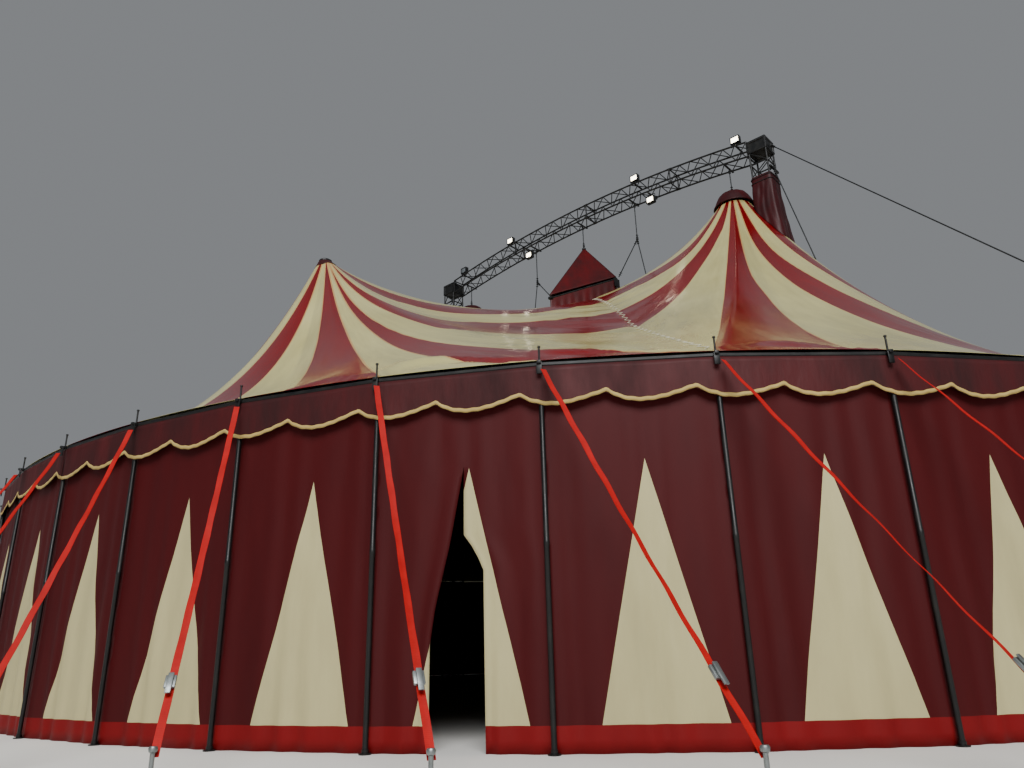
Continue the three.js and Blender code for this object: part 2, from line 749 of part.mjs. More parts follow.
function closedRing(outerLow, outerHigh, innerLow, innerHigh) {
  const loops = [outerLow, outerHigh, innerHigh, innerLow].map((corners) => [...corners, corners[0]]);
  const points = loops.flat();
  const index = [];
  const columns = outerLow.length + 1;
  for (let loop = 0; loop < 4; loop += 1) {
    const next = (loop + 1) % 4;
    for (let column = 0; column < columns - 1; column += 1) {
      const a = loop * columns + column;
      const b = next * columns + column;
      index.push(a, a + 1, b + 1, a, b + 1, b);
    }
  }
  const geometry = new THREE.BufferGeometry();
  const positions = new Float32Array(points.flatMap((point) => point.toArray()));
  geometry.setAttribute('position', new THREE.BufferAttribute(positions, 3));
  geometry.setIndex(index);
  return solidOf(geometry);
}

function addCupola() {
  const apex = new THREE.Vector3(0, 0, cupolaHeight);
  const outer = cupolaCorners(1, 0);
  const inner = cupolaCorners(1, cupolaShell);
  const points = [apex, apex.clone().setZ(cupolaHeight - cupolaShell), ...outer, ...inner];
  const index = [];
  for (let side = 0; side < 4; side += 1) {
    const next = (side + 1) % 4;
    index.push(0, 2 + side, 2 + next);
    index.push(1, 6 + next, 6 + side);
    index.push(2 + side, 6 + side, 6 + next, 2 + side, 6 + next, 2 + next);
  }
  const geometry = new THREE.BufferGeometry();
  const positions = new Float32Array(points.flatMap((point) => point.toArray()));
  geometry.setAttribute('position', new THREE.BufferAttribute(positions, 3));
  geometry.setIndex(index);
  addPiece('cupola_hood', solidOf(geometry), finishes.redSheet);

  const frameTop = cupolaShell + touchGap;
  const frameLow = frameTop + cupolaFrame.depth;
  const frame = closedRing(
    cupolaCorners(1, frameLow),
    cupolaCorners(1, frameTop),
    cupolaCorners(cupolaFrame.inner, frameLow),
    cupolaCorners(cupolaFrame.inner, frameTop),
  );
  const plates = [-1, 1].map((side) => block(
    cupolaPlate,
    new THREE.Vector3(side * cupolaPlateOut, 0, cupolaNearHeight - cupolaPlateDrop),
  ));
  addPiece('cupola_frame', fuse([frame, ...plates]), finishes.blackSteel);

  const skirtTop = frameTop + cupolaFrame.depth / 2;
  const skirt = closedRing(
    cupolaCorners(cupolaSkirt.outer, cupolaSkirt.drop),
    cupolaCorners(cupolaSkirt.outer, skirtTop),
    cupolaCorners(cupolaSkirt.inner, cupolaSkirt.drop),
    cupolaCorners(cupolaSkirt.inner, skirtTop),
  );
  const underFrame = skirt.subtract(frame.translate([0, 0, -touchGap]));
  addPiece('cupola_skirt', trimToCanopy(underFrame), finishes.redSheet);
}

// Cables that hang the cupola from the arch
function addCupolaCables() {
  addPiece('cupola_hanger', hangingCable(0, cupolaHeight + touchGap), finishes.cableSteel);
  const joint = new THREE.Vector3(bridleOut, 0, bridleJointHeight);
  const bridle = trimToCanopy(fuse([
    hangingCable(bridleOut, bridleJointHeight),
    bar(joint, bridlePlateReach, cableDiameter, 6),
    bar(joint, bridleFoot, cableDiameter, 6),
    block(new THREE.Vector3(bridleJointSize, bridleJointSize, bridleJointSize), joint),
  ]));
  for (const [name, turn] of twoEnds) {
    addPiece(`cupola_bridle_${name}`, bridle.rotate([0, 0, turn]), finishes.cableSteel);
  }
}

// Tower guys to their ground anchors, and the short stays down to the canopy
function addGuys() {
  const foot = polar(guyAnchorRadius, guyAngle, guyFootHeight);
  const lugOut = towerOut + blockWidth / 2 + touchGap;
  const lug = new THREE.Vector3(lugOut + 20, 0, blockTop - guyHeadDrop);
  const guy = fuse([
    block(new THREE.Vector3(40, 120, 120), lug),
    bar(lug, foot, cableDiameter, 4, guyLengths),
    upright(guyAnchorRadius, guyAngle, 0, guyAnchorHeight, guyAnchorWidth, 4),
  ]);
  const stayOut = towerOut + (towerWidth + clampLength) / 2 + touchGap;
  const stayHead = new THREE.Vector3(stayOut, 0, stayHeadHeight);
  const stay = trimToCanopy(fuse([
    block(new THREE.Vector3(clampLength, towerWidth, clampLength), stayHead),
    bar(stayHead, stayFoot, cableDiameter, 6),
  ]));
  for (const [name, turn] of twoEnds) {
    addPiece(`tower_guy_${name}`, guy.rotate([0, 0, turn]), finishes.cableSteel);
    addPiece(`tower_stay_${name}`, stay.rotate([0, 0, turn]), finishes.cableSteel);
  }
}

// A floodlight: a bar across the chords with the lamp housing on an arm
function floodlight(x, above) {
  const side = above ? 1 : -1;
  const rail = archHeight(x) + side * (towerWidth / 2 + clampThickness / 2 + clampGap);
  return fuse([
    crossBar(x, rail),
    block(lampArm, new THREE.Vector3(x, lampSide, rail + side * lampArm.z / 2)),
    block(lampSize, new THREE.Vector3(x, lampSide, rail + side * lampRise)),
  ]);
}

function addFloodlights() {
  for (const [name, x, above] of floodlights) {
    addPiece(`floodlight_${name}`, floodlight(x, above), finishes.blackSteel);
  }
}

addCanopy();
addSidePoles();
addWalls();
addValances();
addTowersAndArch();
addSleeves();
addHoods();
addKingPoles();
addCupola();
addCupolaCables();
addGuys();
addFloodlights();

export default group;
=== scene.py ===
# The look of a circus big top: glossy striped sheets, dark hoods, a black lattice arch,
# side poles with red straps, a scalloped valance and a draped wall. Metres, +Z up.
import math
import bpy
import bmesh
from mathutils import Matrix, Vector, noise
from mathutils.bvhtree import BVHTree


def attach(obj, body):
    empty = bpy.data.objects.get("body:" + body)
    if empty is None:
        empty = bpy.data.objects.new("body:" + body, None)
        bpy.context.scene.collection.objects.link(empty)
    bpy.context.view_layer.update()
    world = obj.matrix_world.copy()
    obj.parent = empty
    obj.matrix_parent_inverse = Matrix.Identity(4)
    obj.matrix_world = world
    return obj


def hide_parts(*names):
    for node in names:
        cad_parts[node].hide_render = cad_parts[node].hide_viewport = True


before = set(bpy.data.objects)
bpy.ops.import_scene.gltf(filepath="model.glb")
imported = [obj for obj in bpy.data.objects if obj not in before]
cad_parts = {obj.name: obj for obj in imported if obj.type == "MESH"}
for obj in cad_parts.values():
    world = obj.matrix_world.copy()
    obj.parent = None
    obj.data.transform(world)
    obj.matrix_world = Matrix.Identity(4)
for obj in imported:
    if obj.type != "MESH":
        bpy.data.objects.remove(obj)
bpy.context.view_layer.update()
print("frame loaded:", len(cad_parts), "nodes")

# The round that every piece follows, with a tower at each of its two ends on X
tent = {"rim": 15.7, "rimTop": 4.29, "poles": 48, "towerOut": 6.78, "ends": [("near", 0), ("far", 180)],
        "quarters": ["near_right", "far_right", "far_left", "near_left"]}
bayAngle = 360 / tent["poles"]
inPlace = Matrix.Identity(4)


def polar(radius, degrees, height):
    turn = math.radians(degrees)
    return Vector((radius * math.cos(turn), radius * math.sin(turn), height))


def moved(x, y, z):
    return Matrix.Translation((x, y, z))


def turned(degrees):
    return Matrix.Rotation(math.radians(degrees), 4, "Z")


def smoothStep(low, high, value):
    share = min(max((value - low) / (high - low), 0), 1)
    return share * share * (3 - 2 * share)


def listAt(table, x, column):  # a straight line between the rows of a table
    for low, high in zip(table, table[1:]):
        if x <= high[0]:
            share = (x - low[0]) / (high[0] - low[0])
            return low[column] + (high[column] - low[column]) * share
    return table[-1][column]


def curveAt(stations, x):  # a smooth line through (x, y) stations in rising x
    xs = [station[0] for station in stations]
    step = max(0, min(len(xs) - 2, sum(1 for place in xs[1:] if place <= x)))

    def slope(index):
        low, high = max(index - 1, 0), min(index + 1, len(xs) - 1)
        return (stations[high][1] - stations[low][1]) / (xs[high] - xs[low])

    (x0, y0), (x1, y1) = stations[step], stations[step + 1]
    width = x1 - x0
    t = (x - x0) / width
    bend = (2 * t ** 3 - 3 * t ** 2 + 1) * y0 + (3 * t ** 2 - 2 * t ** 3) * y1
    return bend + width * ((t ** 3 - 2 * t ** 2 + t) * slope(step) + (t ** 3 - t ** 2) * slope(step + 1))


# Node helpers
def linear(hexColour):
    parts = [int(hexColour[place:place + 2], 16) / 255 for place in (1, 3, 5)]
    return [part / 12.92 if part <= 0.04045 else ((part + 0.055) / 1.055) ** 2.4 for part in parts] + [1]


def linkInputs(tree, node, links):
    for name, source in links.items():
        tree.links.new(source if hasattr(source, "is_output") else source.outputs[0], node.inputs[name])


def addNode(tree, kind, settings=None, links=None):
    node = tree.nodes.new("ShaderNode" + kind)
    for name, value in (settings or {}).items():
        if isinstance(name, str) and hasattr(node, name):
            setattr(node, name, value)
        else:
            node.inputs[name].default_value = linear(value) if isinstance(value, str) else value
    linkInputs(tree, node, links or {})
    return node


def newFinish(name, settings):
    material = bpy.data.materials.new(name)
    material.use_nodes = True
    shader = material.node_tree.nodes["Principled BSDF"]
    for socket, value in settings.items():
        shader.inputs[socket].default_value = linear(value) if isinstance(value, str) else value
    return material, material.node_tree, shader


# Shapes by hand: a primitive is added, then shaped in edit mode
def startShape(kind, **settings):
    bpy.ops.object.select_all(action="DESELECT")
    getattr(bpy.ops.mesh, f"primitive_{kind}_add")(**settings)
    return bpy.context.object


def pickFaces(shape, test):
    bpy.ops.object.mode_set(mode="EDIT")
    bpy.ops.mesh.select_mode(type="FACE")
    bpy.ops.mesh.select_all(action="DESELECT")
    work = bmesh.from_edit_mesh(shape.data)
    for face in work.faces:
        face.select = bool(test(face))
    work.select_flush(True)
    bmesh.update_edit_mesh(shape.data)


def takeMesh(shape):  # the finished template's mesh, with its place in it
    if bpy.context.object and bpy.context.object.mode == "EDIT":
        bpy.ops.mesh.select_all(action="SELECT")
        bpy.ops.mesh.normals_make_consistent(inside=False)
        bpy.ops.object.mode_set(mode="OBJECT")
    bpy.ops.object.transform_apply(location=True, rotation=True, scale=True)
    bpy.ops.object.shade_smooth_by_angle(angle=math.radians(40))
    mesh = shape.data.copy()
    bpy.data.objects.remove(shape)
    return mesh


def turnedMesh(steps, sides):  # a round body drawn up from its foot by extruding its top face
    (radius, low), firstTop = steps[0], steps[1][1]
    shape = startShape("cylinder", vertices=sides, radius=radius, depth=firstTop - low,
                       location=(0, 0, (low + firstTop) / 2))
    height, wide = firstTop, radius
    bpy.ops.object.transform_apply(location=True)
    pickFaces(shape, lambda face: face.normal.z > 0.9)
    for index, (nextRadius, nextHeight) in enumerate(steps[1:]):
        if index:
            bpy.ops.mesh.extrude_region_move(TRANSFORM_OT_translate={"value": (0, 0, nextHeight - height)})
        bpy.ops.transform.resize(value=(nextRadius / wide, nextRadius / wide, 1))
        height, wide = nextHeight, nextRadius
    return takeMesh(shape)


def bevelledCube(size, centre, bevel, segments=2):  # left in edit mode
    shape = startShape("cube", size=1, location=centre, scale=size)
    bpy.ops.object.transform_apply(location=True, scale=True)
    bpy.ops.object.mode_set(mode="EDIT")
    bpy.ops.mesh.select_all(action="SELECT")
    bpy.ops.mesh.bevel(offset=bevel, segments=segments)
    return shape


def blockMesh(size, centre, bevel, segments=2):
    return takeMesh(bevelledCube(size, centre, bevel, segments))


def ringMesh(radius, tube, steps, sides, **place):
    return takeMesh(startShape("torus", major_radius=radius, minor_radius=tube, major_segments=steps,
                               minor_segments=sides, **place))


def tubeMesh(name, rings, smooth=False):  # rings of points, skinned and closed at both ends
    work = bmesh.new()
    grid = [[work.verts.new(point) for point in ring] for ring in rings]
    for low, high in zip(grid, grid[1:]):
        for side in range(len(low)):
            other = (side + 1) % len(low)
            work.faces.new([low[side], low[other], high[other], high[side]])
    work.faces.new(grid[0][::-1])
    work.faces.new(grid[-1])
    bmesh.ops.recalc_face_normals(work, faces=work.faces)
    for face in work.faces:
        face.smooth = smooth
    mesh = bpy.data.meshes.new(name)
    work.to_mesh(mesh)
    work.free()
    return mesh


def along(start, end, width):  # places a unit piece that stands on Z between two points
    axis = end - start
    turn = axis.to_track_quat("Z", "Y").to_matrix().to_4x4()
    return Matrix.Translation((start + end) / 2) @ turn @ Matrix.Diagonal((width, width, axis.length, 1))


def addPiece(name, work, materials):
    mesh = bpy.data.meshes.new(name)
    work.to_mesh(mesh)
    work.free()
    piece = bpy.data.objects.new(name, mesh)
    bpy.context.collection.objects.link(piece)
    for material in materials:
        mesh.materials.append(material)
    return piece


def joinCopies(name, copies, materials):  # copies are (mesh, matrix, material index)
    work = bmesh.new()
    for mesh, matrix, index in copies:
        twin = mesh.copy()
        twin.transform(matrix)
        before = len(work.faces)
        work.from_mesh(twin)
        work.faces.ensure_lookup_table()
        for face in work.faces[before:]:
            face.material_index = index
        bpy.data.meshes.remove(twin)
    return addPiece(name, work, materials)


def settle(piece, slot, *nodes):
    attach(piece, "root")
    if nodes:
        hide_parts(*nodes)
    return piece


def settleEnds(name, copies, materials, slot, node):  # the same piece at the near and the far end
    for end, turn in tent["ends"]:
        placed = [(mesh, turned(turn) @ matrix, index) for mesh, matrix, index in copies]
        settle(joinCopies(f"{name}_{end}", placed, materials), slot, f"{node}_{end}")


# Cloth from rows of points, each with its own (u, v)
def addGrid(work, uvLayer, rows, uvRows, flip=False, opening=None):
    grid = [[work.verts.new(point) for point in row] for row in rows]
    for r in range(len(grid) - 1):
        for c in range(len(grid[0]) - 1):
            if opening and opening((grid[r][c].co + grid[r + 1][c + 1].co) / 2):
                continue
            corners = [(r, c), (r, c + 1), (r + 1, c + 1), (r + 1, c)]
            if flip:
                corners.reverse()
            face = work.faces.new([grid[a][b] for a, b in corners])
            face.smooth = True
            for loop, (a, b) in zip(face.loops, corners):
                loop[uvLayer].uv = uvRows[a][b]
    return grid


def thicken(piece, thick):
    bpy.ops.object.select_all(action="DESELECT")
    piece.select_set(True)
    bpy.context.view_layer.objects.active = piece
    layer = piece.modifiers.new("thickness", "SOLIDIFY")
    layer.thickness = thick
    layer.offset = -1
    bpy.ops.object.modifier_apply(modifier=layer.name)


def clothPiece(name, rows, uvRows, material, thick, widthRows=None, flip=False, opening=None):
    work = bmesh.new()
    uvLayer = work.loops.layers.uv.new("UVMap")
    widthLayer = work.verts.layers.float.new("goreWidth") if widthRows else None
    uvRows = uvRows or [[(c, r) for c in range(len(row))] for r, row in enumerate(rows)]
    grid = addGrid(work, uvLayer, rows, uvRows, flip, opening)
    for row, widths in zip(grid, widthRows or []):
        for vertex, width in zip(row, widths):
            vertex[widthLayer] = width
    bmesh.ops.delete(work, geom=[vertex for vertex in work.verts if not vertex.link_faces], context="VERTS")
    piece = addPiece(name, work, [material])
    thicken(piece, thick)
    return piece


# Finishes. A cloth's threads are drawn 8 to 12 mm apart, coarser than real ones, so that they show.
def clothSkin(tree, place, rise, rises, gap, threads):  # rises and threads are (strength, distance)
    coarse = addNode(tree, "Bump", {"Strength": rises[0], "Distance": rises[1]}, {"Height": rise})
    weave = addNode(tree, "TexWave", {"Scale": 2 * math.pi / 20 / gap, "bands_direction": "Z"},
                    {0: place.outputs["Object"]})
    return addNode(tree, "Bump", {"Strength": threads[0], "Distance": threads[1]},
                   {"Height": weave, "Normal": coarse})


sheetFinish = {"red": "#7f0309", "deepRed": "#560206", "cream": "#c9c28b", "shade": "#a0975c",
               "seam": "#b58f5c", "seamHalf": 0.017, "weave": 0.012, "streaks": 0.45}


def stripedSheetMaterial():  # PVC-coated polyester: a glossy skin over a cloth that just shows
    material, tree, shader = newFinish("pvcCoatedStripes", {
        "Coat Weight": 0.04, "Coat Roughness": 0.04, "Specular IOR Level": 0.22})
    cloth = addNode(tree, "UVMap", {"uv_map": "UVMap"})
    parts = addNode(tree, "SeparateXYZ", links={0: cloth})
    gore = addNode(tree, "Math", {"operation": "FLOOR"}, {0: parts})
    odd = addNode(tree, "Math", {"operation": "FLOORED_MODULO", 1: 2.0}, {0: gore})
    nearest = addNode(tree, "Math", {"operation": "ROUND"}, {0: parts})
    off = addNode(tree, "Math", {"operation": "SUBTRACT"}, {0: parts, 1: nearest})
    offSize = addNode(tree, "Math", {"operation": "ABSOLUTE"}, {0: off})
    width = addNode(tree, "Attribute", {"attribute_name": "goreWidth"})
    seamGap = addNode(tree, "Math", {"operation": "MULTIPLY"}, {0: offSize, 1: width.outputs["Fac"]})
    seam = addNode(tree, "Math", {"operation": "LESS_THAN", 1: sheetFinish["seamHalf"]}, {0: seamGap})
    lap = addNode(tree, "MapRange", {"From Min": 0.035, "From Max": 0.045, "To Min": 1.0, "To Max": 0.0},
                  {0: seamGap})
    place = addNode(tree, "TexCoord")
    run = addNode(tree, "Mapping", {"Scale": (1.4, 0.22, 1)}, {0: cloth})
    dirt = addNode(tree, "TexNoise", {"Scale": 3.0, "Detail": 6.0, "Roughness": 0.6}, {0: run})
    fade = addNode(tree, "TexNoise", {"Scale": 0.5, "Detail": 3.0}, {0: place.outputs["Object"]})
    red = addNode(tree, "Mix", {"data_type": "RGBA", 6: sheetFinish["red"], 7: sheetFinish["deepRed"]},
                  {0: fade})
    cream = addNode(tree, "Mix", {"data_type": "RGBA", 6: sheetFinish["cream"], 7: sheetFinish["shade"]},
                    {0: fade})
    stripe = addNode(tree, "Mix", {"data_type": "RGBA"},
                     {0: odd, 6: cream.outputs[2], 7: red.outputs[2]})
    seamed = addNode(tree, "Mix", {"data_type": "RGBA", 7: sheetFinish["seam"]},
                     {0: seam, 6: stripe.outputs[2]})
    streak = addNode(tree, "MapRange", {"From Min": 0.35, "From Max": 0.7, "To Min": 0.74, "To Max": 1.0},
                     {0: dirt})
    grimy = addNode(tree, "Mix", {"data_type": "RGBA", "blend_type": "MULTIPLY",
                                  0: sheetFinish["streaks"]}, {6: seamed.outputs[2], 7: streak})
    gloss = addNode(tree, "MapRange", {"From Min": 0.3, "From Max": 0.75, "To Min": 0.08, "To Max": 0.26},
                    {0: dirt})
    puckers = addNode(tree, "TexNoise", {"Scale": 5.0, "Detail": 4.0}, {0: run})
    rise = addNode(tree, "Math", {"operation": "MULTIPLY_ADD", 1: 2.0}, {0: lap, 2: puckers})
    skin = clothSkin(tree, place, rise, (0.5, 0.006), sheetFinish["weave"], (0.05, 0.001))
    linkInputs(tree, shader, {"Base Color": grimy.outputs[2], "Roughness": gloss, "Normal": skin})
    return material


def plainSheetMaterial(name, colour, shade, roughness, puckerSize):  # coated cloth of one colour
    material, tree, shader = newFinish(name, {"Specular IOR Level": 0.3})
    place = addNode(tree, "TexCoord")
    run = addNode(tree, "Mapping", {"Scale": (1, 1, 0.3)}, {0: place.outputs["Object"]})
    dirt = addNode(tree, "TexNoise", {"Scale": 1.6, "Detail": 6.0, "Roughness": 0.6}, {0: run})
    spread = addNode(tree, "MapRange", {"From Min": 0.35, "From Max": 0.65}, {0: dirt})
    blend = addNode(tree, "Mix", {"data_type": "RGBA", 6: colour, 7: shade}, {0: spread})
    gloss = addNode(tree, "MapRange", {"From Min": 0.3, "From Max": 0.7, "To Min": roughness - 0.08,
                                       "To Max": roughness + 0.12}, {0: dirt})
    puckers = addNode(tree, "TexNoise", {"Scale": 1 / puckerSize, "Detail": 4.0}, {0: run})
    skin = clothSkin(tree, place, puckers, (0.5, 0.01), 0.008, (0.12, 0.0015))
    linkInputs(tree, shader, {"Base Color": blend.outputs[2], "Roughness": gloss, "Normal": skin})
    return material


def metalMaterial(name, colour, worn, metallic, roughness, grain):  # an even skin with worn patches
    material, tree, shader = newFinish(name, {"Metallic": metallic})
    place = addNode(tree, "TexCoord")
    wear = addNode(tree, "TexNoise", {"Scale": 1 / grain, "Detail": 8.0, "Roughness": 0.65},
                   {0: place.outputs["Object"]})
    spread = addNode(tree, "MapRange", {"From Min": 0.48, "From Max": 0.72}, {0: wear})
    blend = addNode(tree, "Mix", {"data_type": "RGBA", 6: colour, 7: worn}, {0: spread})
    gloss = addNode(tree, "MapRange", {"From Min": 0.3, "From Max": 0.7, "To Min": roughness - 0.1,
                                       "To Max": roughness + 0.15}, {0: wear})
    skin = addNode(tree, "TexNoise", {"Scale": 8 / grain, "Detail": 3.0}, {0: place.outputs["Object"]})
    bump = addNode(tree, "Bump", {"Strength": 0.25, "Distance": 0.001}, {"Height": skin})
    linkInputs(tree, shader, {"Base Color": blend.outputs[2], "Roughness": gloss, "Normal": bump})
    return material


# The triangle's foot and point are heights in metres, its half width and middle are shares of a bay
# The wall's red and deep red are painted shade: a red cloth darkened almost to black
wallPatternAndPaintedShade = {"red": "#4f0509", "deepRed": "#300306", "cream": "#b9b083", "base": "#74080d",
              "low": 0.27, "apex": 3.05, "half": 0.317, "middle": 0.56}


def wallMaterial():  # heavy PVC wall cloth with a sewn-in cream triangle in each bay; its red is darkened near black as painted shade
    material, tree, shader = newFinish("wallCanvasTriangles", {"Roughness": 0.6, "Specular IOR Level": 0.2})
    cloth = addNode(tree, "UVMap", {"uv_map": "UVMap"})
    parts = addNode(tree, "SeparateXYZ", links={0: cloth})
    bay = addNode(tree, "Math", {"operation": "FRACT"}, {0: parts})
    side = addNode(tree, "Math", {"operation": "SUBTRACT", 1: wallPatternAndPaintedShade["middle"]}, {0: bay})
    sideSize = addNode(tree, "Math", {"operation": "ABSOLUTE"}, {0: side})
    reach = addNode(tree, "MapRange", {"From Min": wallPatternAndPaintedShade["low"], "From Max": wallPatternAndPaintedShade["apex"],
                                       "To Min": wallPatternAndPaintedShade["half"], "To Max": 0.0, "clamp": False},
                    {0: parts.outputs[1]})
    inside = addNode(tree, "Math", {"operation": "LESS_THAN"}, {0: sideSize, 1: reach})
    above = addNode(tree, "Math", {"operation": "GREATER_THAN", 1: wallPatternAndPaintedShade["low"]}, {0: parts.outputs[1]})
    shape = addNode(tree, "Math", {"operation": "MULTIPLY"}, {0: inside, 1: above})
    place = addNode(tree, "TexCoord")
    run = addNode(tree, "Mapping", {"Scale": (1, 1, 0.25)}, {0: place.outputs["Object"]})
    dirt = addNode(tree, "TexNoise", {"Scale": 2.2, "Detail": 6.0, "Roughness": 0.6}, {0: run})
    # painted shade: both wall reds are near black; the noise between them is random tone
    red = addNode(tree, "Mix", {"data_type": "RGBA", 6: wallPatternAndPaintedShade["red"], 7: wallPatternAndPaintedShade["deepRed"]},
                  {0: dirt})
    based = addNode(tree, "Mix", {"data_type": "RGBA", 6: wallPatternAndPaintedShade["base"]},
                    {0: above, 7: red.outputs[2]})
    sewn = addNode(tree, "Mix", {"data_type": "RGBA", 7: wallPatternAndPaintedShade["cream"]},
                   {0: shape, 6: based.outputs[2]})
    streak = addNode(tree, "MapRange", {"From Min": 0.35, "From Max": 0.7, "To Min": 0.7, "To Max": 1.0},
                     {0: dirt})
    grimy = addNode(tree, "Mix", {"data_type": "RGBA", "blend_type": "MULTIPLY", 0: 0.5},
                    {6: sewn.outputs[2], 7: streak})
    rise = addNode(tree, "Math", {"operation": "MULTIPLY_ADD", 1: 1.5}, {0: shape, 2: dirt})
    skin = clothSkin(tree, place, rise, (0.5, 0.006), 0.0105, (0.15, 0.0015))
    linkInputs(tree, shader, {"Base Color": grimy.outputs[2], "Normal": skin})
    return material


def webbingMaterial(name, colour, shade):  # woven or braided, with ribs drawn every 13 mm so that they show
    material, tree, shader = newFinish(name, {"Roughness": 0.65, "Specular IOR Level": 0.25})
    place = addNode(tree, "TexCoord")
    ribs = addNode(tree, "TexWave", {"Scale": 25.0, "Distortion": 0.6, "bands_direction": "Z"},
                   {0: place.outputs["Object"]})
    dirt = addNode(tree, "TexNoise", {"Scale": 6.0, "Detail": 5.0}, {0: place.outputs["Object"]})
    blend = addNode(tree, "Mix", {"data_type": "RGBA", 6: colour, 7: shade}, {0: dirt})
    bump = addNode(tree, "Bump", {"Strength": 0.4, "Distance": 0.002}, {"Height": ribs})
    linkInputs(tree, shader, {"Base Color": blend.outputs[2], "Normal": bump})
    return material


def lampGlassMaterial():  # a lit lamp's front glass, lightly rippled
    material, tree, shader = newFinish("litLampGlass", {
        "Base Color": "#f4f1e4", "Roughness": 0.15, "Emission Color": "#fff3d6", "Emission Strength": 9.0})
    place = addNode(tree, "TexCoord")
    ripple = addNode(tree, "TexNoise", {"Scale": 60.0, "Detail": 2.0}, {0: place.outputs["Object"]})
    bump = addNode(tree, "Bump", {"Strength": 0.3, "Distance": 0.001}, {"Height": ripple})
    linkInputs(tree, shader, {"Normal": bump})
    return material


stripedPvc = stripedSheetMaterial()
darkPvc = plainSheetMaterial("maroonPvcSheet", "#3d0409", "#220205", 0.5, 0.18)
cupolaPvc = plainSheetMaterial("redPvcSheet", "#530408", "#320205", 0.45, 0.25)
valanceCloth = plainSheetMaterial("wovenValanceCloth", "#430509", "#290305", 0.65, 0.08)
wallCloth = wallMaterial()
goldBraid = webbingMaterial("cottonBraid", "#bfa868", "#937a42")
redWebbing = webbingMaterial("redPolyesterWebbing", "#b80705", "#870403")
laceRope = webbingMaterial("braidedLacingRope", "#d6d2bd", "#a5a08a")
blackSteel = metalMaterial("blackPaintedSteel", "#0b0c0d", "#1d1d1a", 0.2, 0.45, 0.25)
zincSteel = metalMaterial("galvanisedSteel", "#8f9493", "#6c7170", 0.9, 0.42, 0.12)
ropeSteel = metalMaterial("greasedWireRope", "#2e3031", "#191918", 0.7, 0.45, 0.05)
lampBody = metalMaterial("castAluminiumBlack", "#1d1e20", "#3a3b3c", 0.5, 0.45, 0.06)
darkGlass = metalMaterial("lampReflector", "#9aa0a4", "#70767a", 0.8, 0.2, 0.1)
litGlass = lampGlassMaterial()
print("finishes made")

# Canopy: "rim" has seams as (angle at the peak, angle on the rim, share of sag), "valleyEnds" those that
# end on the valley as (angle at the peak, radius), and "stripes" each edge as (share of the way down, angle)
hoodPeak = {
    "out": 5.72, "height": 13.66, "ring": 0.45, "sag": 0.088, "valley": 48.75, "holeHeight": 12.3,
    "rim": [(0, 0, 0.114), (6, 3.75, 0.114), (13, 7.5, 0.114), (20, 11.25, 0.115), (30, 18.75, 0.118),
            (40, 26.25, 0.12), (49, 33.75, 0.12), (58, 41.25, 0.115), (63, 45, 0.1)],
    "rimEnd": 68, "holeEnd": 172.5, "innerSag": 0.0,
    "valleyEnds": [(82.5, 10), (97.5, 8), (112.5, 5.9), (127.5, 4.6), (142.5, 3.4), (157.5, 2.3)],
    "stripes": [
        [(0, 16), (0.2, 15), (0.5, 8), (1, 6)], [(0, 33), (0.16, 31), (0.3, 22), (0.5, 15), (1, 13)],
        [(0, 48), (0.17, 46.5), (0.31, 36.4), (0.5, 25), (1, 20)],
        [(0, 57), (0.14, 56.4), (0.3, 50.5), (0.48, 43), (0.7, 37), (1, 35)],
        [(0, 65), (0.31, 63.2), (0.42, 60.4), (0.68, 57.5), (1, 58)],
        [(0, 75), (0.32, 72.6), (0.77, 69.5), (1, 68)],
        [(0, 79), (0.13, 80.4), (0.26, 83.5), (0.4, 85.7), (0.6, 85.2), (0.8, 83.6), (1, 82)],
        [(0, 92.5), (0.14, 95.9), (0.29, 98.6), (0.52, 99.7), (1, 99.7)],
        [(0, 107), (0.15, 107.5), (0.31, 107.8), (0.48, 110.3), (0.74, 118.6), (1, 124)],
        [(0, 121), (0.28, 120), (0.49, 130.8), (0.67, 140.2), (1, 150)],
        [(0, 138), (0.3, 143), (1, 162)], [(0, 157), (0.3, 162), (1, 172)]],
    "flat": (15.5, 14.5), "area": 132.0}
polePeak = {
    "out": 10.53, "height": 9.9, "ring": 0.16, "sag": 0.07, "valley": 41.25, "holeHeight": 12.0,
    "rim": [(0, 0, 0.18), (9, 3.75, 0.18), (18, 7.5, 0.175), (27, 11.25, 0.17), (36, 15, 0.165),
            (45, 18.75, 0.16), (54, 22.5, 0.12), (63, 26.25, 0.08), (72, 30, 0.07), (81, 33.75, 0.07),
            (90, 37.5, 0.07)],
    "rimEnd": 99, "holeEnd": 175.5, "innerSag": 0.023,
    "valleyEnds": [(117, 10), (135, 8), (153, 5.9), (171, 2.3)],
    "stripes": [
        [(0, 16), (0.5, 11), (1, 9)], [(0, 38), (0.5, 31), (1, 27)], [(0, 57), (0.5, 52.5), (1, 45)],
        [(0, 67), (0.5, 65.3), (1, 63)], [(0, 72.5), (0.5, 72.8), (0.88, 74.8), (1, 81)],
        [(0, 77), (0.38, 78.5), (0.6, 83), (0.8, 91), (1, 99)],
        [(0, 86), (0.2, 89.5), (0.4, 97), (0.6, 107), (0.8, 114), (1, 117)],
        [(0, 95), (0.2, 100.5), (0.4, 110), (0.6, 122), (0.8, 132), (1, 139)],
        [(0, 106), (0.2, 112), (0.4, 124), (0.6, 138), (0.8, 149.5), (1, 158)],
        [(0, 120), (0.2, 130), (0.4, 143), (0.6, 156), (0.8, 164), (1, 169)]],
    "flat": (13.5, 12.5), "area": 106.0}
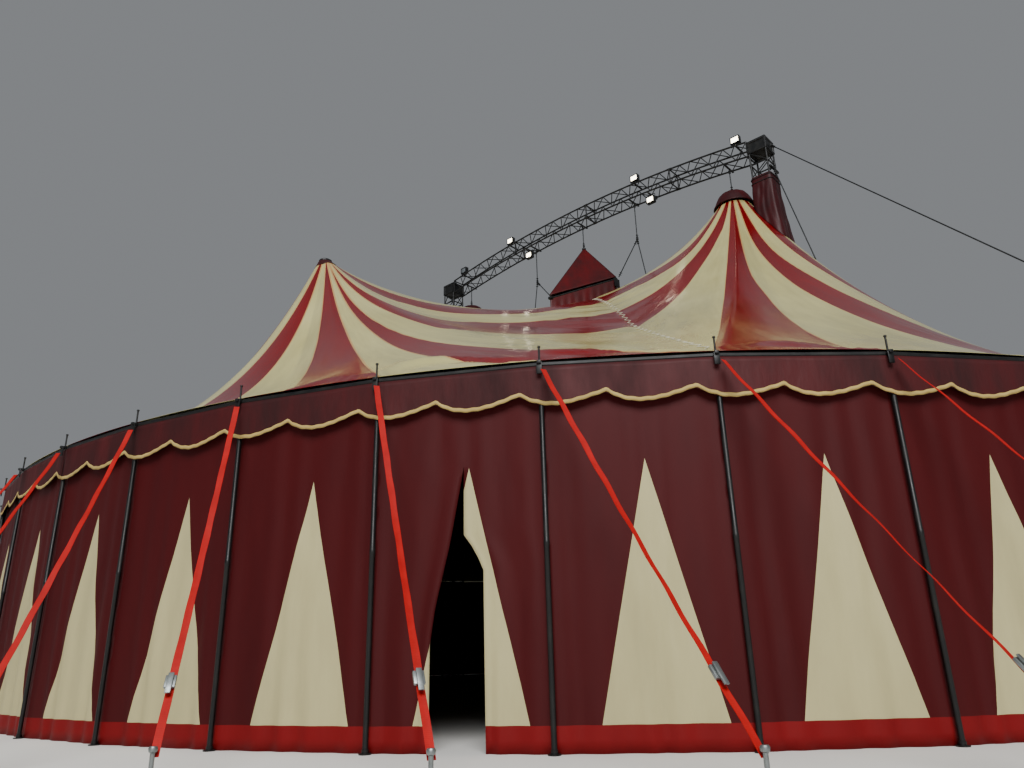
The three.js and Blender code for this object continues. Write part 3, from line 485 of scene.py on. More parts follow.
canopy = {"peaks": [("near", hoodPeak, 0), ("left", polePeak, -90), ("far", hoodPeak, 180),
                    ("right", polePeak, 90)],
          "valleyLine": [(0.7086, 12.05), (2.3, 11.37), (3.4, 10.84), (4.6, 10.21), (5.9, 9.52), (8, 8.29),
                         (10, 7.08), (15.7, 4.29)],
          "columns": 7, "rows": 88, "thick": 0.003, "hole": 1.0, "skew": 0.25,
          "looseSag": 0.08, "mostSag": 0.2, "pinFold": 0.025, "archFold": 0.13, "archHigh": 0.045,
          "archDip": 0.035, "ruck": 0.06, "tremble": 0.02, "towerCut": 0.33,
          "collar": 0.014, "collarRows": 5, "collarRise": 0.012}


def seamAt(peak, angle):  # where a seam ends, its share of sag, and whether it ends on the valley
    if angle <= peak["rimEnd"]:
        table = peak["rim"] + [(peak["rimEnd"], peak["valley"], peak["sag"])]
        return polar(tent["rim"], listAt(table, angle, 1), tent["rimTop"]), listAt(table, angle, 2), False
    holeRadius, holeValleyHeight = canopy["valleyLine"][0]
    if angle <= peak["holeEnd"]:
        table = [(peak["rimEnd"], tent["rim"])] + peak["valleyEnds"] + [(peak["holeEnd"], holeRadius)]
        radius = listAt(table, angle, 1)
        extra = peak["innerSag"] * smoothStep(0, 18, angle - peak["rimEnd"])
        return polar(radius, peak["valley"], curveAt(canopy["valleyLine"], radius)), peak["sag"] + extra, True
    share = (angle - peak["holeEnd"]) / (180 - peak["holeEnd"])
    start = polar(holeRadius, peak["valley"], holeValleyHeight)
    end = start.lerp(Vector((canopy["hole"], 0, peak["holeHeight"])), share)
    return end, peak["sag"] + peak["innerSag"], False


def goreAt(peak, angle, share):  # counts the stripes: whole numbers on their edges, odd ones red
    edges = [(0, 0.5)] + [(curveAt(edge, share), index + 1) for index, edge in enumerate(peak["stripes"])]
    return listAt(edges + [(180, len(peak["stripes"]) + 0.5)], angle, 1)


def seamAngles(peak):
    marks = [mark[0] for mark in peak["rim"]] + [peak["rimEnd"]]
    marks += [mark[0] for mark in peak["valleyEnds"]] + [peak["holeEnd"], 180]
    angles = []
    for low, high in zip(marks, marks[1:]):
        count = canopy["columns"] + (2 if high - low > 12 else 0)
        angles += [low + (high - low) * step / count for step in range(count)]
    return angles + [180]


def sheetPoint(peak, angle, share, loose=False):
    end, sag, onValley = seamAt(peak, angle)
    if loose:
        slack = canopy["looseSag"] * max(0, 1 - ((angle - 50) / 50) ** 2)
        sag += min(slack, max(0, canopy["mostSag"] - sag))
    start = polar(peak["ring"], angle, peak["height"]) + Vector((peak["out"], 0, 0))
    deepest = sag * (end - start).length
    point = start.lerp(end, share)
    point.z -= deepest * 4 * share * (1 - share) * (1 + canopy["skew"] * (1 - 2 * share))
    # tension folds that run up from each pin on the rim
    if angle <= peak["rimEnd"]:
        rimAngle = math.degrees(math.atan2(end.y, end.x))
        offPin = (rimAngle - bayAngle / 2 + bayAngle * 20) % bayAngle / bayAngle
        offPin = min(offPin, 1 - offPin) * 2
        near = smoothStep(0.72, 1, share) * (1 - smoothStep(0.97, 1, share))
        point.z += canopy["pinFold"] * near * math.cos(math.pi * 3 * offPin) * (1 - offPin)
        # a slack fold arches from pin to pin, with a dip below it
        crest = 0.985 - canopy["archFold"] * math.sin(math.pi * offPin / 2) ** 0.8
        still = smoothStep(0, 0.25, offPin) * (1 - smoothStep(0.985, 1, share))
        point.z += canopy["archHigh"] * still * math.exp(-((share - crest) / 0.02) ** 2)
        point.z -= canopy["archDip"] * still * math.exp(-((share - crest - 0.036) / 0.022) ** 2)
    # rucks where the sheet meets the valley
    if onValley:
        close = smoothStep(0.6, 0.97, share) * (1 - smoothStep(0.97, 1, share))
        ruck = noise.noise(Vector((angle * 0.35, share * 3, peak["out"])))
        point.z += canopy["ruck"] * close * (ruck + 0.4 * math.sin(angle * 1.9))
    tremble = noise.noise(Vector((point.x * 0.55, point.y * 0.55, peak["out"] * 3)))
    point.z += canopy["tremble"] * tremble * math.sin(math.pi * share)
    return point


def towerOpening(point):  # the sheets are cut out round the towers
    return abs(abs(point.x) - tent["towerOut"]) < canopy["towerCut"] and abs(point.y) < canopy["towerCut"]


def goreWidths(row, gores):  # metres of cloth for one stripe, at each point of a row
    widths = []
    for c in range(len(row)):
        low, high = max(c - 1, 0), min(c + 1, len(row) - 1)
        widths.append((row[high] - row[low]).length / max(gores[high] - gores[low], 1e-6))
    return widths


def makeCanopy():
    sheets = []
    lift = Vector((0, 0, canopy["collarRise"]))
    collar = [canopy["collar"] * row / canopy["collarRows"] for row in range(canopy["collarRows"] + 1)]
    shares = [1 - (1 - row / canopy["rows"]) ** 1.5 for row in range(canopy["rows"] + 1)]
    for name, peak, turn in canopy["peaks"]:
        angles = seamAngles(peak)
        uvRows = [[(goreAt(peak, angle, share), share * 12) for angle in angles] for share in shares]
        for half, mirrored in (("a", False), ("b", True)):
            loose = mirrored and peak is polePeak
            place = turned(turn) @ Matrix.Diagonal((1, -1 if mirrored else 1, 1, 1))
            rows = [[place @ sheetPoint(peak, angle, share, loose) for angle in angles] for share in shares]
            widthRows = [goreWidths(row, [uv[0] for uv in uvRow]) for row, uvRow in zip(rows, uvRows)]
            sheet = clothPiece(f"striped_sheet_{name}_{half}", rows, uvRows, stripedPvc,
                               canopy["thick"], widthRows, flip=not mirrored, opening=towerOpening)
            settle(sheet, "striped_canopy_sheet", f"canopy_{name}_{half}")
            rests, extras = [f"peak_ring_{name}"], []
            if peak is polePeak:
                rests = [f"king_pole_{name}"]
                band = [[place @ (sheetPoint(peak, angle, share, loose) + lift) for angle in angles]
                        for share in collar]
                extras = [clothPiece(f"peak_collar_{name}_{half}", band, uvRows[:len(band)], darkPvc,
                                     canopy["thick"], flip=not mirrored)]
                settle(extras[0], "dark_hood_sheet")
            sheets.append(sheet)
    return sheets


canopySheets = makeCanopy()
print("canopy sheets:", len(canopySheets))


def treeOf(pieces):  # one tree of all their faces, to set other pieces down on them
    work = bmesh.new()
    for piece in pieces:
        work.from_mesh(piece.data)
    tree = BVHTree.FromBMesh(work)
    work.free()
    return tree


canopyTree = treeOf(canopySheets)


def canopyTop(x, y):
    hit = canopyTree.ray_cast(Vector((x, y, 20)), Vector((0, 0, -1)))[0]
    return hit.z if hit else None


# Valance with its braid: leaning scallops, with the first cusp a little before a bay's start
valance = {"radius": 15.738, "top": 4.2, "cusp": 0.36, "scoop": 0.14, "lean": 0.75, "firstCusp": -0.12,
           "scallop": 0.5, "thick": 0.003, "columns": 30, "rows": 8, "flutter": 0.012, "off": 0.002,
           "braidWidth": 0.05, "braidRise": 0.028, "braidWave": 0.004, "braidTurns": 13, "braidColumns": 78,
           "braidThick": 0.003, "flat": (24.7, 0.5), "area": 11.1}


def valanceDrop(share):
    place = (share - valance["firstCusp"]) / valance["scallop"] % 1
    return valance["cusp"] + valance["scoop"] * math.sin(math.pi * place ** valance["lean"])


def valancePoint(bay, share, drop, out=0):
    start, end = (polar(valance["radius"] + out, (bay + side) * bayAngle, valance["top"] - drop)
                  for side in (0, 1))
    point = start.lerp(end, share)
    wave = noise.noise(Vector((bay * 3.1 + share * 4, drop * 2, 5)))
    flutter = valance["flutter"] * wave * drop / valance["cusp"]
    lift = point.z * flutter / tent["rim"]
    return point * (1 + (flutter + valance["off"]) / valance["radius"]) - Vector((0, 0, lift))


def valanceSteps(first, bays, columns):  # (bay, share of the bay) along a quarter of the round
    steps = [(first + bay, step / columns) for bay in range(bays) for step in range(columns)]
    return steps + [(first + bays - 1, 1)]


def makeValance():
    bays = tent["poles"] // 4
    for quarter, name in enumerate(tent["quarters"]):
        first = quarter * bays + 0.5
        steps = valanceSteps(first, bays, valance["columns"])
        rows = [[valancePoint(bay, share, valanceDrop(share) * row / valance["rows"]) for bay, share in steps]
                for row in range(valance["rows"] + 1)]
        uvRows = [[(bay + share, row) for bay, share in steps] for row in range(valance["rows"] + 1)]
        sheet = clothPiece(f"valance_cloth_{name}", rows, uvRows, valanceCloth, valance["thick"], flip=True)
        settle(sheet, "valance_sheet", f"valance_{name}")
        steps = valanceSteps(first, bays, valance["braidColumns"])
        rows = []
        for edge in (-0.5, 0, 0.5):
            line = []
            for bay, share in steps:
                wave = valance["braidWave"] * math.sin(2 * math.pi * valance["braidTurns"] * share)
                drop = valanceDrop(share) - valance["braidRise"] + wave + edge * valance["braidWidth"]
                line.append(valancePoint(bay, share, drop, 0.005 + 0.003 * (edge == 0)))
            rows.append(line)
        uvRows = [[(bay + share, edge) for bay, share in steps] for edge in (-0.5, 0, 0.5)]
        braid = clothPiece(f"valance_braid_{name}", rows, uvRows, goldBraid, valance["braidThick"], flip=True)
        settle(braid, "valance_sheet")


makeValance()
print("valance hung")

# Wall: eight lengths of six bays. The parted curtain's edges are (height, metres from the bay's middle).
wall = {"radius": 15.655, "top": 4.28, "foot": 0.0005, "thick": 0.003, "columns": 36, "rows": 32,
        "fold": 0.03, "foldsPerBay": 5, "crease": 0.012, "flat": (12.6, 4.25), "doorBay": (6, 3),
        "doorLeft": [(0, 0.34), (1.09, 0.335), (1.5, 0.27), (2.2, 0.1), (3.05, -0.06), (5, -0.06)],
        "doorRight": [(0, 0.29), (1.9, 0.287), (2.17, 0.14), (2.21, 0.06), (5, 0.06)]}


def wallPoint(bay, share, height, curtain):  # curtain: -1 is the left one, 1 the right one, 0 a whole bay
    start, end = (polar(wall["radius"], (bay + side) * bayAngle, height) for side in (0, 1))
    half = (end - start).length / 2
    x = (share - 0.5) * 2 * half
    if curtain < 0:
        x = -half + (x + half) * (half - listAt(wall["doorLeft"], height, 1)) / half
    elif curtain > 0:
        x = half - (half - x) * (half - listAt(wall["doorRight"], height, 1)) / half
    depth = 1 - height / wall["top"]
    phase = (bay + share) * wall["foldsPerBay"] * 2 * math.pi
    sway = 1.4 * noise.noise(Vector((bay * 1.7 + share * 2, height * 0.35, 2)))
    fold = (0.5 + 0.5 * math.sin(phase + sway + math.sin(phase * 0.37))) * wall["fold"] * (0.25 + depth)
    crease = wall["crease"] * noise.noise(Vector((bay * 5 + share * 9, height * 1.3, 8)))
    held = smoothStep(0, 0.08, share) * (1 - smoothStep(0.92, 1, share))
    inward = ((start + end) / -2).normalized()
    inward.z = 0
    across = 0.5 + x / (2 * half)
    return start.lerp(end, across) + inward * (fold + abs(crease)) * max(held, 0.15), across


def makeWalls():
    bays = tent["poles"] // 8
    tall = wall["top"] - wall["foot"]
    heights = [wall["foot"] + tall * row / wall["rows"] for row in range(wall["rows"] + 1)]
    for eighth in range(8):
        work = bmesh.new()
        uvLayer = work.loops.layers.uv.new("UVMap")
        for bay in range(bays):
            parted = (eighth, bay) == wall["doorBay"]
            for low, high, curtain in [(0, 0.5, -1), (0.5, 1, 1)] if parted else [(0, 1, 0)]:
                count = wall["columns"] // (2 if parted else 1)
                shares = [low + (high - low) * step / count for step in range(count + 1)]
                spots = [[wallPoint(eighth * bays + 0.5 + bay, share, height, curtain) for share in shares]
                         for height in heights]
                uvRows = [[(bay + across, height) for point, across in row]
                          for row, height in zip(spots, heights)]
                addGrid(work, uvLayer, [[point for point, across in row] for row in spots], uvRows)
        bmesh.ops.remove_doubles(work, verts=work.verts, dist=0.0005)
        sheet = addPiece(f"wall_cloth_{eighth + 1}", work, [wallCloth])
        thicken(sheet, wall["thick"])
        settle(sheet, "wall_sheet", f"wall_{eighth + 1}")


makeWalls()
print("walls hung")

# Side poles: tube, foot, head bracket, pin, webbing strap, buckle and stake, as (radius, height) steps
sidePole = {"radius": 15.7, "tube": [(0.07, 0), (0.07, 0.012), (0.038, 0.014), (0.038, 0.05), (0.03, 0.056),
                                     (0.03, 2.1), (0.0335, 2.105), (0.0335, 2.16), (0.03, 2.165),
                                     (0.03, 4.21)],
            "headRadius": 15.765, "hookRadius": 15.795, "pinRadius": 15.758,
            "pin": [(0.012, 4.2), (0.012, 4.425), (0.019, 4.43), (0.019, 4.444), (0.012, 4.4497)],
            "strapHead": (15.79, 4.227), "strapFoot": (18.2, 0.27), "lead": 5.5, "strapWidth": 0.07,
            "strapThick": 0.005, "strapSteps": 56, "buckleShare": 0.86,
            "stake": [(0.02, 0.0), (0.02, 0.3), (0.034, 0.31), (0.038, 0.335), (0.03, 0.35)],
            "bandRadius": 15.705, "bandTop": 4.2497, "bandDepth": 0.045, "bandWidth": 0.08,
            "bandRim": 0.008, "bandGap": 0.0008}


def strapLine(short=0.0):  # the strap's two ends, its direction and the direction across it
    head = polar(sidePole["strapHead"][0], 0, sidePole["strapHead"][1])
    foot = polar(sidePole["strapFoot"][0] - short, sidePole["lead"], sidePole["strapFoot"][1])
    axis = (foot - head).normalized()
    return head, foot, axis, Vector((-axis.y, axis.x, 0)).normalized()


def strapMesh():  # a flat strap down to the stake, with a slack twist and small waves
    head, foot, axis, across = strapLine(0.02)
    outward = axis.cross(across)
    rings = []
    for step in range(sidePole["strapSteps"] + 1):
        share = 0.03 + 0.97 * step / sidePole["strapSteps"]
        calm = math.sin(math.pi * share)
        twist = 0.28 * calm * math.sin(share * 7)
        wide = across * math.cos(twist) + outward * math.sin(twist)
        deep = outward * math.cos(twist) - across * math.sin(twist)
        middle = head.lerp(foot, share) + outward * (0.006 * math.sin(share * 48) - 0.025 * calm)
        half = sidePole["strapWidth"] / 2 * (1 - 0.1 * calm * math.sin(share * 31) ** 2)
        rings.append([middle + wide * x * half + deep * y * sidePole["strapThick"] / 2
                      for x, y in ((-1, -1), (0, -1.6), (1, -1), (1, 1), (0, 0.4), (-1, 1))])
    return tubeMesh("strap", rings)


def bandMesh(first, bays):  # the round-edged steel band between the pole heads
    between = math.cos(math.radians(bayAngle / 2))
    corners = [(first * bayAngle + sidePole["bandGap"], between)]
    corners += [((first + step + 0.5) * bayAngle, 1) for step in range(bays)]
    corners.append(((first + bays) * bayAngle - sidePole["bandGap"], between))
    wide, deep, rim = sidePole["bandWidth"] / 2, sidePole["bandDepth"] / 2, sidePole["bandRim"]
    outline = [(-wide + rim, -deep), (wide - rim, -deep), (wide, -deep + rim), (wide, deep - rim),
               (wide - rim, deep), (-wide + rim, deep), (-wide, deep - rim), (-wide, -deep + rim)]
    middle = sidePole["bandTop"] - deep
    return tubeMesh("band", [[polar((sidePole["bandRadius"] + x) * share, angle, middle + z)
                              for x, z in outline] for angle, share in corners])


def makeSidePoles():
    tube = turnedMesh(sidePole["tube"], 16)
    pin = turnedMesh(sidePole["pin"], 10)
    stake = turnedMesh(sidePole["stake"], 12)
    headBlock = blockMesh((0.11, 0.05, 0.04), (0.01, 0, sidePole["strapHead"][1]), 0.006)
    hook = blockMesh((0.02, 0.07, 0.15), (sidePole["hookRadius"], 0, 4.16), 0.006)
    buckle = blockMesh((0.12, 0.095, 0.03), (0, 0, 0), 0.006)
    handle = blockMesh((0.2, 0.05, 0.016), (0.03, 0, 0.03), 0.005)
    strap = strapMesh()
    head, foot, axis, across = strapLine()
    onStrap = Matrix((axis, across, axis.cross(across))).transposed().to_4x4()
    onStrap = Matrix.Translation(head.lerp(foot, sidePole["buckleShare"])) @ onStrap
    atStake = moved(sidePole["strapFoot"][0], 0, 0)
    bays = tent["poles"] // 4
    for quarter, name in enumerate(tent["quarters"]):
        steel, webbing = [(bandMesh(quarter * bays, bays), inPlace, 0)], []
        for step in range(bays):
            angle = (quarter * bays + step + 0.5) * bayAngle
            at = turned(angle)
            steel.append((tube, at @ moved(sidePole["radius"], 0, 0), 0))
            steel.append((headBlock, at @ moved(sidePole["headRadius"], 0, 0), 0))
            steel.append((pin, at @ moved(sidePole["pinRadius"], 0, 0), 0))
            steel.append((hook, at, 0))
            steel.append((stake, turned(angle + sidePole["lead"]) @ atStake, 1))
            steel += [(buckle, at @ onStrap, 1), (handle, at @ onStrap, 1)]
            webbing.append((strap, at, 0))
        poles = joinCopies(f"pole_set_{name}", steel, [blackSteel, zincSteel])
        settle(poles, "side_pole_steel", f"side_poles_{name}")
        settle(joinCopies(f"strap_set_{name}", webbing, [redWebbing]), "side_pole_steel")


makeSidePoles()
print("side poles standing")

# Lattices: the arch and the two towers
truss = {"width": 0.57, "chord": 0.055, "brace": 0.032, "frameBrace": 0.0448,
         "archPanels": 34, "archJoint": 9, "towerPanels": 36, "towerJoint": 7, "top": 14.99, "crown": 15.72,
         "rise": 0.53, "reach": 6.47, "coupler": 0.07, "couplerHalf": 0.07, "foot": 0.03,
         "basePlate": (0.9, 0.9, 0.034), "baseBolt": 0.38,
         "crossBarGap": 0.025}
latticeCorners = [(1, 1), (-1, 1), (-1, -1), (1, -1)]


def archHeight(x):
    return truss["crown"] - truss["rise"] * (x / truss["reach"]) ** 2


def barMesh(sides):  # a straight bar of unit size, to be stretched between two points
    shape = startShape("cylinder", vertices=sides, radius=0.5, depth=1)
    pickFaces(shape, lambda face: abs(face.normal.z) > 0.9)
    bpy.ops.mesh.inset(thickness=0.08)
    return takeMesh(shape)


chordBar = barMesh(12)
braceBar = barMesh(8)


def latticeBars(stations, cornersAt, jointEvery):  # chords and zigzags, with square frames and couplers
    copies = []
    rings = [cornersAt(station) for station in stations]
    last = len(rings) - 1
    for side in range(4):
        after = (side + 1) % 4
        for step, (low, high) in enumerate(zip(rings, rings[1:])):
            copies.append((chordBar, along(low[side], high[side], truss["chord"]), 0))
            start, end = (side, after) if step % 2 == 0 else (after, side)
            copies.append((braceBar, along(low[start], high[end], truss["brace"]), 0))
        for step, ring in enumerate(rings):
            if step % jointEvery == 0 or step == last:
                copies.append((braceBar, along(ring[side], ring[after], truss["frameBrace"]), 0))
            if step % jointEvery == 0 and 0 < step < last:
                reach = (rings[step + 1][side] - rings[step - 1][side]).normalized() * truss["couplerHalf"]
                copies.append((chordBar, along(ring[side] - reach, ring[side] + reach, truss["coupler"]), 0))
    return copies


def makeLattices():
    half = (truss["width"] - truss["chord"]) / 2
    spots = [-truss["reach"] + 2 * truss["reach"] * step / truss["archPanels"]
             for step in range(truss["archPanels"] + 1)]
    arch = latticeBars(spots, lambda x: [Vector((x, y * half, archHeight(x) + z * half))
                                         for y, z in latticeCorners], truss["archJoint"])
    settle(joinCopies("arch_lattice", arch, [blackSteel]), "black_lattice_steel", "arch_truss")
    levels = [truss["foot"] + (truss["top"] - truss["foot"]) * step / truss["towerPanels"]
              for step in range(truss["towerPanels"] + 1)]
    tower = latticeBars(levels, lambda z: [Vector((tent["towerOut"] + x * half, y * half, z))
                                           for x, y in latticeCorners], truss["towerJoint"])
    tower.append((blockMesh(truss["basePlate"], (tent["towerOut"], 0, 0.017), 0.006), inPlace, 0))
    bolt = turnedMesh([(0.024, 0.034), (0.024, 0.05), (0.014, 0.054), (0.014, 0.085)], 6)
    for x, y in latticeCorners:
        tower.append((bolt, moved(tent["towerOut"] + x * truss["baseBolt"], y * truss["baseBolt"], 0), 0))
    settleEnds("tower_lattice", tower, [blackSteel], "black_lattice_steel", "tower")


makeLattices()
print("lattices standing")

# Corner blocks on the towers, with pressed side plates and bolts
cornerBlock = {"size": (0.6, 0.6, 0.43), "centre": 15.185, "bevel": 0.012, "panel": 0.06, "press": -0.02,
               "bolt": 0.016, "boltIn": 0.035, "boltLevels": (-1, -0.33, 0.33, 1)}


def makeCornerBlocks():
    shape = bevelledCube(cornerBlock["size"], (tent["towerOut"], 0, cornerBlock["centre"]),
                         cornerBlock["bevel"])
    pickFaces(shape, lambda face: face.calc_area() > 0.1)
    bpy.ops.mesh.inset(thickness=cornerBlock["panel"])
    bpy.ops.mesh.inset(thickness=0.012, depth=cornerBlock["press"])
    copies = [(takeMesh(shape), inPlace, 0)]
    bolt = turnedMesh([(cornerBlock["bolt"], 0), (cornerBlock["bolt"], 0.012), (0.01, 0.014)], 6)
    wide, tall = cornerBlock["size"][0] / 2, cornerBlock["size"][2] / 2
    middle = moved(tent["towerOut"], 0, cornerBlock["centre"])
    for turn in (0, 90, 180, 270):
        face = middle @ turned(turn) @ Matrix.Rotation(math.pi / 2, 4, "X")
        for side in (-1, 1):
            for level in cornerBlock["boltLevels"]:
                spot = moved(side * (wide - cornerBlock["boltIn"]), level * (tall - 0.04), wide - 0.002)
                copies.append((bolt, face @ spot, 0))
    settleEnds("corner_box", copies, [blackSteel], "black_lattice_steel", "corner_block")


makeCornerBlocks()
print("corner blocks on")

# Fabric sleeves round the towers, down to the canopy, as (height, half width) levels
sleeve = {"levels": [(11.4, 0.5), (13.34, 0.34), (14.11, 0.318)], "columns": 72, "rows": 30, "lowest": 11.2,
          "corner": 7, "gather": 0.0072, "wrinkle": 0.02, "thick": 0.003, "tie": 0.33, "tieRope": 0.012,
          "ties": (14.05, 13.9), "flat": (2.9, 2.6), "area": 4.3}
sleeveTop = sleeve["levels"][-1][0]


def squareShare(angle):  # how far a round shape goes out to become a square one with round corners
    away = abs(math.cos(angle)) ** sleeve["corner"] + abs(math.sin(angle)) ** sleeve["corner"]
    return away ** (-1 / sleeve["corner"])


def sleevePoint(angle, height):
    reach = curveAt(sleeve["levels"], height) * squareShare(angle)
    slack = smoothStep(sleeveTop, 13.6, height)
    reach += sleeve["gather"] * slack * math.sin(angle * 15 + 2 * math.sin(height * 3))
    wrinkle = noise.noise(Vector((math.cos(angle) * 2, math.sin(angle) * 2, height * 2.2)))
    reach += sleeve["wrinkle"] * slack * wrinkle
    return Vector((tent["towerOut"] + reach * math.cos(angle), reach * math.sin(angle), height))


def makeSleeves():
    columns = []
    for column in range(sleeve["columns"] + 1):
        angle = 2 * math.pi * (column % sleeve["columns"]) / sleeve["columns"]
        low = sleeveTop
        while low > sleeve["lowest"]:
            point = sleevePoint(angle, low)
            top = canopyTop(point.x, point.y)
            if top is not None and point.z <= top + 0.004:
                break
            low -= 0.01
        columns.append([sleevePoint(angle, sleeveTop + (low - sleeveTop) * row / sleeve["rows"])
                        for row in range(sleeve["rows"] + 1)])
    rows = [[column[row] for column in columns] for row in range(sleeve["rows"] + 1)]
    tie = ringMesh(sleeve["tie"], sleeve["tieRope"], 48, 8)
    for vertex in tie.vertices:  # the tie rope takes the sleeve's square section
        grow = squareShare(math.atan2(vertex.co.y, vertex.co.x))
        vertex.co.x *= grow
        vertex.co.y *= grow
    for end, turn in tent["ends"]:
        place = turned(turn)
        sheet = clothPiece(f"sleeve_cloth_{end}", [[place @ point for point in row] for row in rows], None,
                           darkPvc, sleeve["thick"], flip=True)
        settle(sheet, "dark_hood_sheet", f"tower_sleeve_{end}")
        copies = [(tie, place @ moved(tent["towerOut"], 0, height), 0) for height in sleeve["ties"]]
        ties = settle(joinCopies(f"sleeve_tie_{end}", copies, [blackSteel]), "dark_hood_sheet")


makeSleeves()
print("sleeves tied")

# Domed hoods over the hung peaks, by a profile of (radius, height over the peak)
hood = {"profile": [(0.0, 0.43), (0.24, 0.41), (0.4, 0.32), (0.5, 0.16), (0.6, -0.08)], "columns": 72,
        "rows": 24, "thick": 0.004, "gores": 12, "slack": 0.012, "dent": 0.006, "rimRadius": 0.596,
        "rimTube": 0.02, "rimDrop": 0.075, "cap": [(0.06, 0.405), (0.06, 0.47), (0.045, 0.498)],
        "flat": (1.8, 1.8), "area": 2.02}


def hoodPoint(angle, share):
    radius = curveAt([(index / 4, spot[0]) for index, spot in enumerate(hood["profile"])], share)
    height = curveAt([(index / 4, spot[1]) for index, spot in enumerate(hood["profile"])], share)
    slack = abs(math.sin(angle * hood["gores"] / 2))
    radius += hood["slack"] * (slack - 0.5) * math.sin(math.pi * min(share * 1.1, 1))
    height += hood["dent"] * noise.noise(Vector((math.cos(angle) * 3, math.sin(angle) * 3, share * 6)))
    return Vector((hoodPeak["out"] + radius * math.cos(angle), radius * math.sin(angle),
                   hoodPeak["height"] + height))


def makeHoods():
    rows = [[hoodPoint(2 * math.pi * (c % hood["columns"]) / hood["columns"], max(r / hood["rows"], 0.01))
             for c in range(hood["columns"] + 1)] for r in range(hood["rows"] + 1)]
    rim = ringMesh(hood["rimRadius"], hood["rimTube"], 64, 10,
                   location=(hoodPeak["out"], 0, hoodPeak["height"] - hood["rimDrop"]))
    cap = turnedMesh(hood["cap"], 20)
    for end, turn in tent["ends"]:
        place = turned(turn)
        sheet = clothPiece(f"hood_cloth_{end}", [[place @ point for point in row] for row in rows], None,
                           darkPvc, hood["thick"])
        settle(sheet, "dark_hood_sheet", f"peak_hood_{end}")
        copies = [(rim, place, 0), (cap, place @ moved(hoodPeak["out"], 0, hoodPeak["height"]), 1)]
        trim = settle(joinCopies(f"hood_rim_{end}", copies, [darkPvc, blackSteel]), "dark_hood_sheet")


makeHoods()
print("hoods on")

# Cupola: hood, frame and skirt. Its near and side corners are (distance out, height).
cupola = {"apex": 14.5, "near": (1.26, 12.9), "side": (2.08, 11.93), "columns": 24, "rows": 24, "sag": 0.035,
          "dent": 0.012, "thick": 0.003, "flat": (5.0, 4.0), "area": 10.7, "piping": 0.014,
          "cap": [(0.07, 14.42), (0.07, 14.47), (0.05, 14.49), (0.03, 14.4995)],
          "frameShare": 0.965, "frameDrop": 0.08, "frameTube": 0.06, "plateOut": 1.28, "armTube": 0.05,
          "skirtShare": 0.975, "skirtDrop": 0.08, "skirtColumns": 160, "skirtRows": 12, "pleats": 9,
          "pleat": 0.012, "flutter": 0.01, "skirtOut": 1.6,
          "skirtFlat": (9.9, 1.2), "skirtArea": 4.8}


def cupolaEdge(turn, share=1.0, drop=0.0):  # turn counts the four corners, near first
    (nearOut, nearHeight), (sideOut, sideHeight) = cupola["near"], cupola["side"]
    corners = [Vector((nearOut, 0, nearHeight)), Vector((0, sideOut, sideHeight)),
               Vector((-nearOut, 0, nearHeight)), Vector((0, -sideOut, sideHeight))]
    low = int(turn) % 4
    point = corners[low].lerp(corners[(low + 1) % 4], turn - int(turn))
    return Vector((point.x * share, point.y * share, point.z - drop))


def frameCorner(turn):
    return cupolaEdge(turn, cupola["frameShare"], cupola["frameDrop"])


def makeCupola():
    columns = cupola["columns"] * 4
    rows, apex = [], Vector((0, 0, cupola["apex"] - 0.012))
    for row in range(cupola["rows"] + 1):
        share = max(row / cupola["rows"], 0.004)
        line = []
        for column in range(columns + 1):
            turn = 4 * (column % columns) / columns
            face = math.sin(math.pi * (turn % 1))
            point = apex.lerp(cupolaEdge(turn), share)
            point.z -= cupola["sag"] * face * math.sin(math.pi * share)
            point.z += cupola["dent"] * face * noise.noise(Vector((point.x * 2, point.y * 2, 4)))
            line.append(point)
        rows.append(line)
    sheet = clothPiece("cupola_cloth", rows, None, cupolaPvc, cupola["thick"])
    settle(sheet, "cupola_sheet", "cupola_hood")
    piping = [(braceBar, along(apex.lerp(cupolaEdge(turn), 0.03), cupolaEdge(turn, 1, 0.006),
                               cupola["piping"]), 0) for turn in range(4)]
    piping.append((turnedMesh(cupola["cap"], 20), inPlace, 0))
    trim = settle(joinCopies("cupola_piping", piping, [blackSteel]), "cupola_sheet")


def makeCupolaFrame():
    knuckle = blockMesh((0.13, 0.13, 0.09), (0, 0, 0), 0.02)
    plate = blockMesh((0.05, 0.26, 0.3), (0, 0, 0), 0.008)
    bolt = turnedMesh([(0.016, 0), (0.016, 0.012), (0.01, 0.014)], 6)
    bars = []
    for turn in range(4):
        bars.append((chordBar, along(frameCorner(turn), frameCorner(turn + 0.99999), cupola["frameTube"]), 0))
        bars.append((knuckle, Matrix.Translation(frameCorner(turn)), 0))
    for side in (-1, 1):
        at = moved(side * cupola["plateOut"], 0, cupola["near"][1] - 0.25)
        bars.append((plate, at, 0))
        flat = Matrix.Rotation(side * math.pi / 2, 4, "Y")
        for y, z in ((-0.1, -0.12), (-0.1, 0.12), (0.1, -0.12), (0.1, 0.12)):
            bars.append((bolt, at @ moved(side * 0.024, y, z) @ flat, 0))
        arm = Vector((side * cupola["plateOut"], 0, cupola["near"][1] - 0.12))
        bars.append((braceBar, along(arm, frameCorner(1 - side), cupola["armTube"]), 0))
    settle(joinCopies("cupola_frame_tubes", bars, [blackSteel]), "black_lattice_steel", "cupola_frame")


